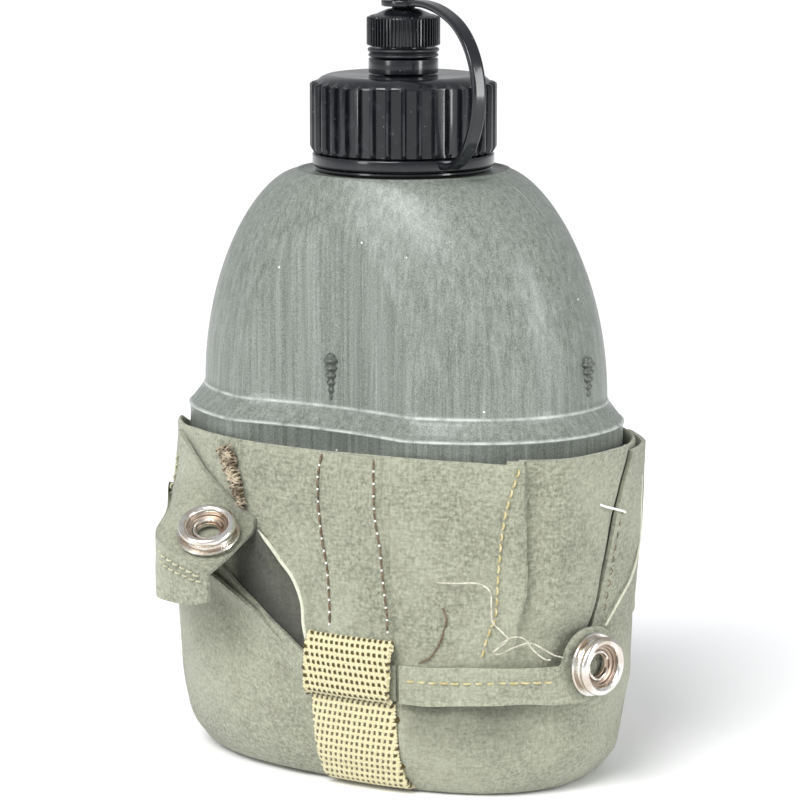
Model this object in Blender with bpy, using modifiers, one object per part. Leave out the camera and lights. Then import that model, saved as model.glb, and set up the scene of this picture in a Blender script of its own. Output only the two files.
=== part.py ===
"""A one-litre plastic canteen in its cotton pouch, as separate pieces.

Metres, +Z up. The bottle's wide side runs along X and its broad faces look along -Y and +Y.
The origin is on the ground under the bottle's own axis.
"""
import math

import bmesh
import bpy
from mathutils import Matrix, Vector

# ---- driving dimensions, in metres ----
CLEARANCE = 0.0003

# bottle
LEDGE_TOP_Z = 0.1020
LEDGE_FOOT_Z = 0.0965
LAND_Z = 0.1620
LAND_R = 0.0292
DOME_HALF_X = 0.0595
DOME_HALF_Y = 0.0400
BAND_HALF_X = 0.0637
BAND_HALF_Y = 0.0440
BOTTLE_SQUARENESS = 2.15
BOTTLE_BASE_Z = 0.0041
BOTTLE_WALL = 0.0020
NECK_R = 0.0195
NECK_BORE_R = 0.0165
NECK_TOP_Z = 0.1825
PANEL_DENT = 0.0055
PANEL_HALF_X = 0.0270
PANEL_ARCH_Z = 0.1120
PANEL_TOP_Z = 0.1440
NUB_LOW_Z = 0.1035
NUB_HEIGHT = 0.0125
NUB_TOP_R = 0.0018
NUB_FOOT_R = 0.0007

# large screw cap
CAP_R = 0.0252
CAP_GROOVE_R = 0.0240
CAP_RIBS = 36
CAP_FOOT_Z = 0.1626
CAP_RIB_LOW_Z = 0.1673
CAP_RIB_TOP_Z = 0.1855
CAP_TOP_Z = 0.1880
CAP_TOP_R = 0.0205
CAP_BORE_R = 0.0212
CAP_CEILING_Z = 0.1853
CAP_HOLE_R = 0.0053
STRAP_SEAT_R = 0.0226

# spout on the cap
COLLAR_R = 0.0094
COLLAR_TOP_Z = 0.1923
TUBE_R = 0.0060
TUBE_BORE_R = 0.0036
TUBE_TOP_Z = 0.2000
RING_LOW_Z = 0.1926
RING_TOP_Z = 0.1952
SPOUT_CAP_R = 0.0098
SPOUT_CAP_RIBS = 44
SPOUT_CAP_LOW_Z = 0.1956
SPOUT_CAP_RIB_TOP_Z = 0.2032
SPOUT_CAP_CEILING_Z = 0.2014
SPOUT_NECK_R = 0.0030
SPOUT_NECK_LOW_Z = 0.2056
SPOUT_NECK_TOP_Z = 0.2082
BUTTON_R = 0.0040
BUTTON_LOW_Z = 0.2085
BUTTON_TOP_Z = 0.2110
STEM_R = 0.0014

# retaining strap, in a plane through the cap's axis
STRAP_PLANE_DEG = -26.0
STRAP_WIDTH = 0.0036
STRAP_THICKNESS = 0.0020
STRAP_RING_LOW_Z = 0.1636
STRAP_RING_TOP_Z = 0.1670
STRAP_RING_IN_R = 0.0229
STRAP_RING_OUT_R = 0.0246
EYE_LOW_Z = 0.2061
EYE_TOP_Z = 0.2080
EYE_IN_R = 0.0034
EYE_OUT_R = 0.0058

# pouch
CLOTH = 0.0014
POUCH_HALF_X = 0.0665
POUCH_HALF_Y = 0.0445
POUCH_SQUARENESS = 2.4
RIM_Z = 0.0910
BASE_THICKNESS = 0.0034
WEBBING_WIDTH = 0.0250
WEBBING_THICKNESS = 0.0015
WEBBING_X = 0.0140

# snap fasteners
SNAP_R = 0.0081
SNAP_HOLE_R = 0.0032
SNAP_HEIGHT = 0.0040
SNAP_STEPS = 28
RIGHT_SNAP_Z = 0.0370

# flaps and closure strap
LEFT_FLAP_LOW_Z = 0.0495
LEFT_FLAP_TOP_Z = 0.0890
RIGHT_FLAP_FRONT_DEG = 6.0
RIGHT_FLAP_BACK_DEG = 46.0
RIGHT_FLAP_LOW_Z = 0.0440
RIGHT_FLAP_TOP_Z = 0.0895
RIGHT_SNAP_DEG = -11.0
TAB_START_DEG = -26.0
TAB_HALF_DEG = 12.0
TAB_HALF = 0.0098
TAB_STAND_OFF = 0.0028


# ---- scene, collections and materials ----
for old in list(bpy.data.objects):
    bpy.data.objects.remove(old, do_unlink=True)

parts = bpy.data.collections.new("canteen")
cutters = bpy.data.collections.new("cutters")
for group in (parts, cutters):
    bpy.context.scene.collection.children.link(group)


def material(name, colour, roughness, metallic=0.0):
    made = bpy.data.materials.new(name)
    made.use_nodes = True
    shader = made.node_tree.nodes["Principled BSDF"]
    shader.inputs["Base Color"].default_value = (*colour, 1.0)
    shader.inputs["Roughness"].default_value = roughness
    shader.inputs["Metallic"].default_value = metallic
    return made


OLIVE = (0.135, 0.160, 0.120)
BLACK = (0.012, 0.012, 0.014)
KHAKI = (0.260, 0.265, 0.190)
WEBBING = (0.480, 0.390, 0.190)
NICKEL = (0.620, 0.580, 0.520)


# ---- shaping helpers ----
def place(name, mesh, finish, group=parts, smooth=True):
    made = bpy.data.objects.new(name, mesh)
    group.objects.link(made)
    if finish:
        mesh.materials.append(finish)
    if smooth:
        mesh.shade_smooth()
        mesh.set_sharp_from_angle(angle=math.radians(35))
    return made


def mesh_from(bm, name):
    bmesh.ops.recalc_face_normals(bm, faces=bm.faces)
    mesh = bpy.data.meshes.new(name)
    bm.to_mesh(mesh)
    bm.free()
    return mesh


def turned(name, profile, finish, steps=48, closed=True, group=parts):
    """A profile of (radius, height) points, turned round Z with a Screw modifier."""
    bm = bmesh.new()
    corners = [bm.verts.new((r, 0.0, z)) for r, z in profile]
    for first, second in zip(corners, corners[1:]):
        bm.edges.new((first, second))
    if closed:
        bm.edges.new((corners[-1], corners[0]))
    mesh = bpy.data.meshes.new(name)
    bm.to_mesh(mesh)
    bm.free()
    made = place(name, mesh, finish, group)
    screw = made.modifiers.new("turn", "SCREW")
    screw.axis = "Z"
    screw.steps = steps
    screw.render_steps = steps
    screw.use_merge_vertices = True
    screw.merge_threshold = 0.00001
    return made


def skin(name, sections, finish, ring=False):
    """A loft through unlike sections of equal corner count, with its two ends filled.

    With ring=True the last section joins the first one instead.
    """
    bm = bmesh.new()
    rows = [[bm.verts.new(p) for p in section] for section in sections]
    count = len(rows[0])
    pairs = list(zip(rows, rows[1:]))
    if ring:
        pairs.append((rows[-1], rows[0]))
    for low, high in pairs:
        for i in range(count):
            j = (i + 1) % count
            bm.faces.new((low[i], low[j], high[j], high[i]))
    if not ring:
        bm.faces.new(rows[0])
        bm.faces.new(rows[-1])
    bmesh.ops.triangulate(bm, faces=[f for f in bm.faces if len(f.verts) > 4])
    return place(name, mesh_from(bm, name), finish)


def boolean(target, other, operation):
    """Joins or cuts the target with another object, which is kept as a hidden guide."""
    other.hide_render = True
    other.display_type = "WIRE"
    for group in list(other.users_collection):
        group.objects.unlink(other)
    cutters.objects.link(other)
    change = target.modifiers.new(operation.lower(), "BOOLEAN")
    change.object = other
    change.operation = operation
    change.solver = "EXACT"


def superellipse(t, half_x, half_y, squareness):
    """The point of a rounded outline at the angle t; squareness 2 is an ellipse."""
    power = 2.0 / squareness
    x = half_x * math.copysign(abs(math.cos(t)) ** power, math.cos(t))
    y = half_y * math.copysign(abs(math.sin(t)) ** power, math.sin(t))
    return x, y


def blend_between(table, z):
    """Straight-line values between the rows (z, value, value, ...) of a table."""
    if z <= table[0][0]:
        return table[0][1:]
    for low, high in zip(table, table[1:]):
        if z <= high[0]:
            share = (z - low[0]) / (high[0] - low[0])
            return tuple(p + (q - p) * share for p, q in zip(low[1:], high[1:]))
    return table[-1][1:]


# ---- the bottle: one blown shell, open at the neck ----
BOTTLE_STEPS = 44
# height, half width and half depth of the body below the dome
BODY = (
    (BOTTLE_BASE_Z, 0.0500, 0.0290),
    (0.0052, 0.0550, 0.0340),
    (0.0085, 0.0590, 0.0375),
    (0.0150, 0.0610, 0.0405),
    (0.0300, 0.0622, 0.0425),
    (0.0600, 0.0632, 0.0436),
    (LEDGE_FOOT_Z, BAND_HALF_X, BAND_HALF_Y),
    (LEDGE_TOP_Z, DOME_HALF_X, DOME_HALF_Y),
)
DOME_ROUNDNESS = 0.6


def dent(x, z):
    """How far the arch-topped panel on a broad face lies below the rounded outline."""
    rise = max(0.0, z - PANEL_ARCH_Z) / (PANEL_TOP_Z - PANEL_ARCH_Z)
    inside = 1.0 - (x / PANEL_HALF_X) ** 2 - rise ** 2
    fade = min(1.0, max(0.0, (z - 0.010) / 0.020))
    return PANEL_DENT * fade * max(0.0, inside)


def bottle_ring(z, half_x, half_y, squareness, inset=0.0):
    ring = []
    for i in range(BOTTLE_STEPS):
        t = 2.0 * math.pi * i / BOTTLE_STEPS
        x, y = superellipse(t, half_x - inset, half_y - inset, squareness)
        y -= math.copysign(dent(x, z), y)
        ring.append((x, y, z))
    return ring


def dome_size(z):
    share = (1.0 - ((z - LEDGE_TOP_Z) / (LAND_Z - LEDGE_TOP_Z)) ** 2) ** DOME_ROUNDNESS
    half_x = LAND_R + (DOME_HALF_X - LAND_R) * share
    half_y = LAND_R + (DOME_HALF_Y - LAND_R) * share
    return half_x, half_y, 2.0 + (BOTTLE_SQUARENESS - 2.0) * share


def bottle_shell():
    olive = material("olive_plastic", OLIVE, 0.38)
    dome_heights = [LEDGE_TOP_Z + (LAND_Z - LEDGE_TOP_Z) * math.sin(math.radians(a))
                    for a in (14, 27, 39, 50, 61, 71, 80, 90)]
    outside = [bottle_ring(z, x, y, BOTTLE_SQUARENESS) for z, x, y in BODY]
    outside += [bottle_ring(z, *dome_size(z)) for z in dome_heights]
    neck = [(NECK_R + 0.0012, LAND_Z + 0.0003), (NECK_R, LAND_Z + 0.0015), (NECK_R, NECK_TOP_Z),
            (NECK_BORE_R, NECK_TOP_Z), (NECK_BORE_R, LAND_Z - BOTTLE_WALL)]
    outside += [bottle_ring(z, r, r, 2.0) for r, z in neck]
    inside = [bottle_ring(z - BOTTLE_WALL, *dome_size(z), BOTTLE_WALL) for z in dome_heights[-2::-1]]
    inside += [bottle_ring(max(z, BOTTLE_BASE_Z + BOTTLE_WALL) - 0.0005 * (z > 0.09), x, y,
                           BOTTLE_SQUARENESS, BOTTLE_WALL)
               for z, x, y in BODY[:1:-1]]
    return skin("bottle_shell", outside + inside, olive)


def nubs():
    """Four small tapering nubs above the ledge: one on each broad face, one at each end."""
    bm = bmesh.new()
    middle_z = NUB_LOW_Z + NUB_HEIGHT / 2
    half_x, half_y, squareness = dome_size(middle_z)
    face_y = half_y - dent(0.0, middle_z)
    for x, y in ((half_x, 0.0), (-half_x, 0.0), (0.0, face_y), (0.0, -face_y)):
        made = bmesh.ops.create_cone(bm, cap_ends=True, segments=10, radius1=NUB_FOOT_R,
                                     radius2=NUB_TOP_R, depth=NUB_HEIGHT)
        bmesh.ops.translate(bm, verts=made["verts"], vec=(x, y, middle_z))
    return place("nub_shapes", mesh_from(bm, "nub_shapes"), None, cutters)


bottle = bottle_shell()
boolean(bottle, nubs(), "UNION")


# ---- the large cap, its gasket, and the spout on it ----
black = material("black_plastic", BLACK, 0.22)
rubber = material("black_rubber", (0.020, 0.020, 0.020), 0.55)
liner_white = material("liner_plastic", (0.62, 0.62, 0.58), 0.5)


def ribbed_ring(z, crest, groove, ribs, corners_per_rib=3):
    """One level of a ribbed outline; crest and groove are the same where it is plain."""
    ring = []
    total = ribs * corners_per_rib
    for i in range(total):
        on_crest = i % corners_per_rib < (corners_per_rib + 1) // 2
        radius = crest if on_crest else groove
        t = 2.0 * math.pi * (i + 0.5) / total
        ring.append((radius * math.cos(t), radius * math.sin(t), z))
    return ring


def screw_cap():
    low, top = CAP_RIB_LOW_Z, CAP_RIB_TOP_Z
    levels = [
        (CAP_FOOT_Z, 0.0240, 0.0240),
        (CAP_FOOT_Z + 0.0007, 0.0240, 0.0240),
        (CAP_FOOT_Z + 0.0008, STRAP_SEAT_R, STRAP_SEAT_R),
        (low - 0.0001, STRAP_SEAT_R, STRAP_SEAT_R),
        (low, CAP_R - 0.0007, CAP_GROOVE_R - 0.0002),
        (low + 0.0008, CAP_R, CAP_GROOVE_R),
        (top, CAP_R, CAP_GROOVE_R),
        (top + 0.0006, CAP_R - 0.0008, CAP_GROOVE_R),
        (CAP_TOP_Z - 0.0008, 0.0228, 0.0228),
        (CAP_TOP_Z, CAP_TOP_R, CAP_TOP_R),
        (CAP_TOP_Z, CAP_HOLE_R, CAP_HOLE_R),
        (CAP_CEILING_Z, CAP_HOLE_R, CAP_HOLE_R),
        (CAP_CEILING_Z, CAP_BORE_R, CAP_BORE_R),
    ]
    rings = [ribbed_ring(z, crest, groove, CAP_RIBS) for z, crest, groove in levels]
    rings.append(ribbed_ring(CAP_FOOT_Z, CAP_BORE_R, CAP_BORE_R, CAP_RIBS))
    return skin("screw_cap", rings, black, ring=True)


def spout_cap():
    low, top = SPOUT_CAP_LOW_Z, SPOUT_CAP_RIB_TOP_Z
    groove = SPOUT_CAP_R - 0.0006
    bore = TUBE_R + 0.0005
    levels = [
        (low, groove, groove),
        (low + 0.0005, SPOUT_CAP_R, groove),
        (top - 0.0003, SPOUT_CAP_R, groove),
        (top, groove, groove - 0.0002),
        (top + 0.0006, 0.0070, 0.0070),
        (SPOUT_NECK_LOW_Z, SPOUT_NECK_R, SPOUT_NECK_R),
        (SPOUT_NECK_TOP_Z, SPOUT_NECK_R, SPOUT_NECK_R),
        (SPOUT_NECK_TOP_Z, STEM_R + 0.0004, STEM_R + 0.0004),
        (SPOUT_NECK_TOP_Z - 0.0042, STEM_R + 0.0004, STEM_R + 0.0004),
    ]
    outside = [ribbed_ring(z, crest, deep, SPOUT_CAP_RIBS, 2) for z, crest, deep in levels]
    inside = [ribbed_ring(SPOUT_CAP_CEILING_Z, bore, bore, SPOUT_CAP_RIBS, 2),
              ribbed_ring(low, bore, bore, SPOUT_CAP_RIBS, 2)]
    return skin("spout_cap", inside + outside, black)


screw_cap()
spout_cap()

turned("cap_gasket", [(0.0203, 0.1850), (0.0203, 0.1829), (0.0160, 0.1829), (0.0160, 0.1850)], rubber)
turned("spout_nozzle", [
    (TUBE_R, TUBE_TOP_Z), (TUBE_R, COLLAR_TOP_Z), (COLLAR_R - 0.0006, COLLAR_TOP_Z),
    (COLLAR_R, COLLAR_TOP_Z - 0.0006), (COLLAR_R, CAP_TOP_Z + 0.0010),
    (COLLAR_R - 0.0006, CAP_TOP_Z + CLEARANCE), (CAP_HOLE_R - CLEARANCE, CAP_TOP_Z + CLEARANCE),
    (CAP_HOLE_R - CLEARANCE, CAP_CEILING_Z), (TUBE_BORE_R, CAP_CEILING_Z), (TUBE_BORE_R, TUBE_TOP_Z),
], black, 40)
turned("spout_ring", [
    (COLLAR_R - 0.0002, RING_TOP_Z), (COLLAR_R + 0.0001, RING_TOP_Z - 0.0006),
    (COLLAR_R + 0.0001, RING_LOW_Z + 0.0006), (COLLAR_R - 0.0002, RING_LOW_Z),
    (TUBE_R + CLEARANCE, RING_LOW_Z), (TUBE_R + CLEARANCE, RING_TOP_Z),
], rubber, 40)
turned("spout_cap_liner", [
    (0.0, 0.2011), (0.0060, 0.2011), (0.0060, 0.2003), (0.0, 0.2003),
], liner_white, 32, closed=False)
turned("cap_button", [
    (0.0, BUTTON_TOP_Z), (BUTTON_R - 0.0010, BUTTON_TOP_Z), (BUTTON_R, BUTTON_TOP_Z - 0.0009),
    (BUTTON_R, BUTTON_LOW_Z + 0.0003), (BUTTON_R - 0.0004, BUTTON_LOW_Z), (STEM_R, BUTTON_LOW_Z),
    (STEM_R, BUTTON_LOW_Z - 0.0040), (0.0, BUTTON_LOW_Z - 0.0040),
], black, 32, closed=False)


# ---- the retaining strap: an eye, a C-shaped band and a ring, moulded in one ----
def strap_band():
    """The C-shaped band as a bevelled curve in the strap's plane, made a mesh."""
    route = [(0.0048, 0.2070), (0.0120, 0.2072), (0.0210, 0.2058), (0.0300, 0.2022), (0.0365, 0.1962),
             (0.0398, 0.1885), (0.0396, 0.1808), (0.0368, 0.1736), (0.0322, 0.1682), (0.0275, 0.1655),
             (0.0236, 0.1652)]
    curve = bpy.data.curves.new("strap_route", "CURVE")
    curve.dimensions = "3D"
    spline = curve.splines.new("NURBS")
    spline.points.add(len(route) - 1)
    for point, (r, z) in zip(spline.points, route):
        point.co = (r, 0.0, z, 1.0)
    spline.order_u = 3
    spline.use_endpoint_u = True
    spline.resolution_u = 3
    section = bpy.data.curves.new("strap_section", "CURVE")
    section.dimensions = "2D"
    outline = section.splines.new("POLY")
    outline.use_cyclic_u = True
    half_w, half_t, round_off = STRAP_WIDTH / 2, STRAP_THICKNESS / 2, 0.0005
    corners = [(half_t, half_w - round_off), (half_t - round_off, half_w),
               (round_off - half_t, half_w), (-half_t, half_w - round_off)]
    corners += [(-u, -v) for u, v in corners]
    outline.points.add(len(corners) - 1)
    for point, (u, v) in zip(outline.points, corners):
        point.co = (u, v, 0.0, 1.0)
    section_object = bpy.data.objects.new("strap_section", section)
    cutters.objects.link(section_object)
    curve.bevel_mode = "OBJECT"
    curve.bevel_object = section_object
    curve.use_fill_caps = True
    guide = bpy.data.objects.new("strap_route", curve)
    cutters.objects.link(guide)
    bpy.context.view_layer.update()
    mesh = bpy.data.meshes.new_from_object(guide.evaluated_get(bpy.context.evaluated_depsgraph_get()))
    bpy.data.objects.remove(guide)
    bpy.data.objects.remove(section_object)
    bm = bmesh.new()
    bm.from_mesh(mesh)
    bmesh.ops.remove_doubles(bm, verts=bm.verts, dist=0.00001)
    bmesh.ops.rotate(bm, verts=bm.verts, matrix=Matrix.Rotation(math.radians(STRAP_PLANE_DEG), 3, "Z"))
    bmesh.ops.triangulate(bm, faces=bm.faces)
    return place("retaining_strap", mesh_from(bm, "retaining_strap"), black)


strap = strap_band()
strap_ring = turned("strap_ring", [
    (STRAP_RING_OUT_R, STRAP_RING_TOP_Z), (STRAP_RING_OUT_R, STRAP_RING_LOW_Z),
    (STRAP_RING_IN_R, STRAP_RING_LOW_Z), (STRAP_RING_IN_R, STRAP_RING_TOP_Z),
], None, 48, group=cutters)
strap_eye = turned("strap_eye", [
    (EYE_OUT_R, EYE_TOP_Z), (EYE_OUT_R, EYE_LOW_Z), (EYE_IN_R, EYE_LOW_Z), (EYE_IN_R, EYE_TOP_Z),
], None, 24, group=cutters)
boolean(strap, strap_ring, "UNION")
boolean(strap, strap_eye, "UNION")


# ---- the pouch: two side panels and a base of canvas ----
canvas = material("canvas", KHAKI, 0.9)
webbing = material("webbing", WEBBING, 0.9)
# height, half width and half depth of the pouch's outer face
POUCH = (
    (0.0, 0.0560, 0.0340),
    (0.0012, 0.0585, 0.0365),
    (BASE_THICKNESS, 0.0605, 0.0385),
    (0.0080, 0.0632, 0.0412),
    (0.0150, 0.0650, 0.0430),
    (0.0250, 0.0658, 0.0438),
    (0.0450, 0.0662, 0.0442),
    (RIM_Z, POUCH_HALF_X, POUCH_HALF_Y),
)


def pouch_point(t_deg, z, outward=0.0):
    """A point at the angle t round the pouch, so far outward of its outer face."""
    half_x, half_y = blend_between(POUCH, z)
    x, y = superellipse(math.radians(t_deg), half_x + outward, half_y + outward, POUCH_SQUARENESS)
    return Vector((x, y, z))


def pouch_angle(x, z, outward=0.0):
    """The angle, on the front, where the pouch's outer face reaches x."""
    half_x = blend_between(POUCH, z)[0] + outward
    share = min(1.0, abs(x) / half_x) ** (POUCH_SQUARENESS / 2.0)
    t = math.degrees(math.acos(share))
    return -t if x >= 0 else t - 180.0


def side_panel(name, start_deg, end_deg, stations=30):
    heights = [BASE_THICKNESS + CLEARANCE, 0.0080, 0.0150, 0.0250, 0.0450, 0.0700, RIM_Z]
    sections = []
    for i in range(stations + 1):
        t = start_deg + (end_deg - start_deg) * i / stations
        outer = [pouch_point(t, z) for z in heights]
        inner = [pouch_point(t, z, -CLOTH) for z in reversed(heights)]
        sections.append(outer + inner)
    return skin(name, sections, canvas)


def base_panel():
    rings = []
    for z in (0.0, 0.0012, BASE_THICKNESS):
        rings.append([pouch_point(360.0 * i / 48, z) for i in range(48)])
    made = skin("pouch_base_panel", rings, canvas)
    bm = bmesh.new()
    bmesh.ops.create_cube(bm, size=1.0)
    channel = (WEBBING_WIDTH + 2 * CLEARANCE, 0.2, 2 * (WEBBING_THICKNESS + CLEARANCE))
    bmesh.ops.scale(bm, verts=bm.verts, vec=channel)
    bmesh.ops.translate(bm, verts=bm.verts, vec=(WEBBING_X, 0.0, 0.0))
    cutter = place("webbing_channel", mesh_from(bm, "webbing_channel"), None, cutters, smooth=False)
    boolean(made, cutter, "DIFFERENCE")


SEAM_DEG = 0.35
side_panel("pouch_front_panel", 180.0 + SEAM_DEG, 360.0 - SEAM_DEG)
side_panel("pouch_back_panel", SEAM_DEG, 180.0 - SEAM_DEG)
base_panel()


def strip_on_pouch(name, stations, finish, inner, thickness):
    """A flat band laid on the pouch; stations are (angle, low z, high z[, extra stand-off])."""
    sections = []
    for t, low, high, *extra in stations:
        lift = inner + (extra[0] if extra else 0.0)
        middle = (low + high) / 2
        sections.append([
            pouch_point(t, low, lift), pouch_point(t, middle, lift), pouch_point(t, high, lift),
            pouch_point(t, high, lift + thickness), pouch_point(t, middle, lift + thickness),
            pouch_point(t, low, lift + thickness),
        ])
    return skin(name, sections, finish)


def even(start, end, count):
    return [start + (end - start) * i / count for i in range(count + 1)]


# centre strip on the front panel
STRIP_HALF = 0.0095
STRIP_LOW_Z = 0.0440
strip_on_pouch("centre_strip", [
    (pouch_angle(x, RIM_Z), STRIP_LOW_Z, RIM_Z - 0.0008)
    for x in even(WEBBING_X - STRIP_HALF, WEBBING_X + STRIP_HALF, 5)
], canvas, CLEARANCE, 0.0010)

# closure strap: the sewn run from under the left flap down to the keeper
KEEPER_LOW_Z = 0.0275
KEEPER_TOP_Z = 0.0430
KEEPER_LEFT = WEBBING_X - WEBBING_WIDTH / 2
KEEPER_RIGHT = WEBBING_X + WEBBING_WIDTH / 2
STRAP_LOW_Z = 0.0272
STRAP_HIGH_Z = 0.0368
STRAP_CLOTH = 0.0012
fixed_run = []
for x in even(-0.0330, KEEPER_RIGHT + CLEARANCE, 12):
    slope = max(0.0, min(1.0, (KEEPER_LEFT - 0.002 - x) / 0.030))
    low = STRAP_LOW_Z + 0.0180 * slope
    fixed_run.append((pouch_angle(x, low), low, low + (STRAP_HIGH_Z - STRAP_LOW_Z) + 0.0020 * slope))
strip_on_pouch("strap_fixed_run", fixed_run, canvas, CLEARANCE, STRAP_CLOTH)

# closure strap: the free run from the keeper to the right snap, with a wider rounded end
FREE_START_DEG = pouch_angle(KEEPER_RIGHT + 0.0009, STRAP_LOW_Z)
free_run = []
for t in even(FREE_START_DEG, TAB_START_DEG, 7):
    share = (t - FREE_START_DEG) / (TAB_START_DEG - FREE_START_DEG)
    free_run.append((t, STRAP_LOW_Z, STRAP_HIGH_Z, TAB_STAND_OFF * share))
for turn in (-60, -35, -12, 12, 35, 58):
    half = TAB_HALF * math.cos(math.radians(turn))
    free_run.append((RIGHT_SNAP_DEG + TAB_HALF_DEG * math.sin(math.radians(turn)),
                     RIGHT_SNAP_Z - half, RIGHT_SNAP_Z + half, TAB_STAND_OFF))
strip_on_pouch("strap_free_run", free_run, canvas, CLEARANCE, STRAP_CLOTH)


# keeper loop: webbing over the strap, sewn above and below it
def side_loop(name, path, at_back=False):
    """A webbing loop seen from the side: path gives (stand-off, z) of its inner face."""
    sections = []
    for x in even(WEBBING_X - WEBBING_WIDTH / 2, WEBBING_X + WEBBING_WIDTH / 2, 2):
        ring = []
        for offset, z in path + [(offset + WEBBING_THICKNESS, z) for offset, z in reversed(path)]:
            p = pouch_point(pouch_angle(x, z, offset), z, offset)
            ring.append(Vector((p.x, -p.y, p.z)) if at_back else p)
        sections.append(ring)
    skin(name, sections, webbing)


OVER_STRAP = 0.0022
side_loop("keeper_loop", [
    (OVER_STRAP, KEEPER_LOW_Z - 0.0014), (OVER_STRAP, 0.0320), (OVER_STRAP, 0.0385),
    (0.0017, KEEPER_TOP_Z + 0.0006),
])


# webbing that runs from the keeper down the front, under the base and up the back
def base_webbing():
    low_front = [(0.0254, CLEARANCE), (0.0150, CLEARANCE), (0.0080, CLEARANCE),
                 (0.0034, CLEARANCE + 0.0002), (0.0012, CLEARANCE + 0.0006)]
    sections = []
    for x in even(WEBBING_X - WEBBING_WIDTH / 2, WEBBING_X + WEBBING_WIDTH / 2, 2):
        inner, outer = [], []
        for z, offset in low_front:
            inner.append(pouch_point(pouch_angle(x, z, offset), z, offset))
            far = offset + WEBBING_THICKNESS
            outer.append(pouch_point(pouch_angle(x, z, far), z, far))
        edge = pouch_point(pouch_angle(x, 0.0), 0.0).y
        inner.append(Vector((x, edge + 0.0015, WEBBING_THICKNESS)))
        outer.append(Vector((x, edge + 0.0005, 0.0)))
        front = inner + [Vector((p.x, -p.y, p.z)) for p in reversed(inner)]
        back = outer + [Vector((p.x, -p.y, p.z)) for p in reversed(outer)]
        sections.append(front + back[::-1])
    skin("base_webbing", sections, webbing)


base_webbing()

# belt loop on the back, sewn to the back panel at its two ends
LOOP_LOW_Z = 0.0300
LOOP_TOP_Z = 0.0860
LOOP_GAP = 0.0075
side_loop("belt_loop", [
    (CLEARANCE, LOOP_LOW_Z), (CLEARANCE, LOOP_LOW_Z + 0.0060), (LOOP_GAP, LOOP_LOW_Z + 0.0110),
    (LOOP_GAP, 0.0580), (LOOP_GAP, LOOP_TOP_Z - 0.0110), (CLEARANCE, LOOP_TOP_Z - 0.0060),
    (CLEARANCE, LOOP_TOP_Z),
], at_back=True)


# ---- flaps ----
# where the turned-out flap stands, from its sewn edge to its free one: the plan point of its top
# edge, how far its shelf reaches out, the height of the shelf's middle and of the lower edge
LEFT_FLAP = (
    ((-0.0150, -0.0455), 0.0168, 0.0623, LEFT_FLAP_LOW_Z + 0.0020),
    ((-0.0250, -0.0445), 0.0168, 0.0662, LEFT_FLAP_LOW_Z),
    ((-0.0350, -0.0424), 0.0160, 0.0702, LEFT_FLAP_LOW_Z),
    ((-0.0440, -0.0388), 0.0080, 0.0735, LEFT_FLAP_LOW_Z),
    ((-0.0520, -0.0334), 0.0035, 0.0764, LEFT_FLAP_LOW_Z),
)
SHELF_SLOPE = 0.442
SHELF_EASE = 0.0012
SHELF_SAG = 0.0008


def left_flap_station(index):
    """The middle line of the flap's cloth at one station, from its top edge to its lower one."""
    (x, y), reach, shelf_z, low_z = LEFT_FLAP[index]
    before, after = LEFT_FLAP[max(index - 1, 0)][0], LEFT_FLAP[min(index + 1, len(LEFT_FLAP) - 1)][0]
    outward = Vector((before[1] - after[1], after[0] - before[0])).normalized()
    drop = SHELF_SLOPE * reach / 2
    path = [(0.0, LEFT_FLAP_TOP_Z), (0.0, shelf_z + drop + 2 * SHELF_EASE), (SHELF_EASE, shelf_z + drop),
            (reach, shelf_z - drop), (reach + SHELF_EASE, shelf_z - drop - SHELF_EASE),
            (reach + SHELF_EASE, low_z)]
    return outward, path, Vector((x, y))


def left_flap():
    """The flap that is turned out: it hangs, juts out as a shelf for its snap, and hangs again."""
    sections = []
    for index in range(len(LEFT_FLAP)):
        outward, path, foot = left_flap_station(index)
        front, back = [], []
        for i, (out, z) in enumerate(path):
            before, after = Vector(path[max(i - 1, 0)]), Vector(path[min(i + 1, len(path) - 1)])
            along = (after - before).normalized()
            for row, sign in ((front, 1.0), (back, -1.0)):
                across = sign * CLOTH / 2 * Vector((-along.y, along.x))
                row.append((*(foot + outward * (out + across.x)), z + across.y))
        sections.append(front + back[::-1])
    skin("left_flap", sections, canvas)


left_flap()
strip_on_pouch("right_flap", [
    (t, RIGHT_FLAP_LOW_Z + 0.012 * max(0.0, (t - 30.0) / 16.0), RIGHT_FLAP_TOP_Z, 0.0006)
    for t in even(RIGHT_FLAP_FRONT_DEG, RIGHT_FLAP_BACK_DEG, 8)
], canvas, CLEARANCE, CLOTH)


# ---- snap fasteners ----
nickel = material("nickel", NICKEL, 0.28, 1.0)
RING_PROFILE = [
    (SNAP_R - 0.0004, 0.0), (SNAP_HOLE_R, 0.0), (SNAP_HOLE_R, SNAP_HEIGHT - 0.0006),
    (SNAP_HOLE_R + 0.0008, SNAP_HEIGHT), (SNAP_R - 0.0024, SNAP_HEIGHT - 0.0002),
    (SNAP_R - 0.0014, SNAP_HEIGHT - 0.0014), (SNAP_R, 0.0010),
]
SPRING_PROFILE = [
    (SNAP_HOLE_R - CLEARANCE, 0.0016), (SNAP_HOLE_R - 0.0009, 0.0016),
    (SNAP_HOLE_R - 0.0009, 0.0023), (SNAP_HOLE_R - CLEARANCE, 0.0023),
]
BACKING_PROFILE = [
    (0.0046, 0.0), (0.0026, 0.0), (0.0026, 0.0006), (0.0046, 0.0006),
]
STUD_PROFILE = [
    (0.0, 0.0015), (0.0017, 0.0015), (0.0021, 0.0011), (0.0018, 0.0006), (0.0044, 0.0005),
    (0.0044, 0.0), (0.0, 0.0),
]


def stand(made, where, normal):
    made.location = where
    made.rotation_euler = Vector(normal).to_track_quat("Z", "Y").to_euler()


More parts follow.
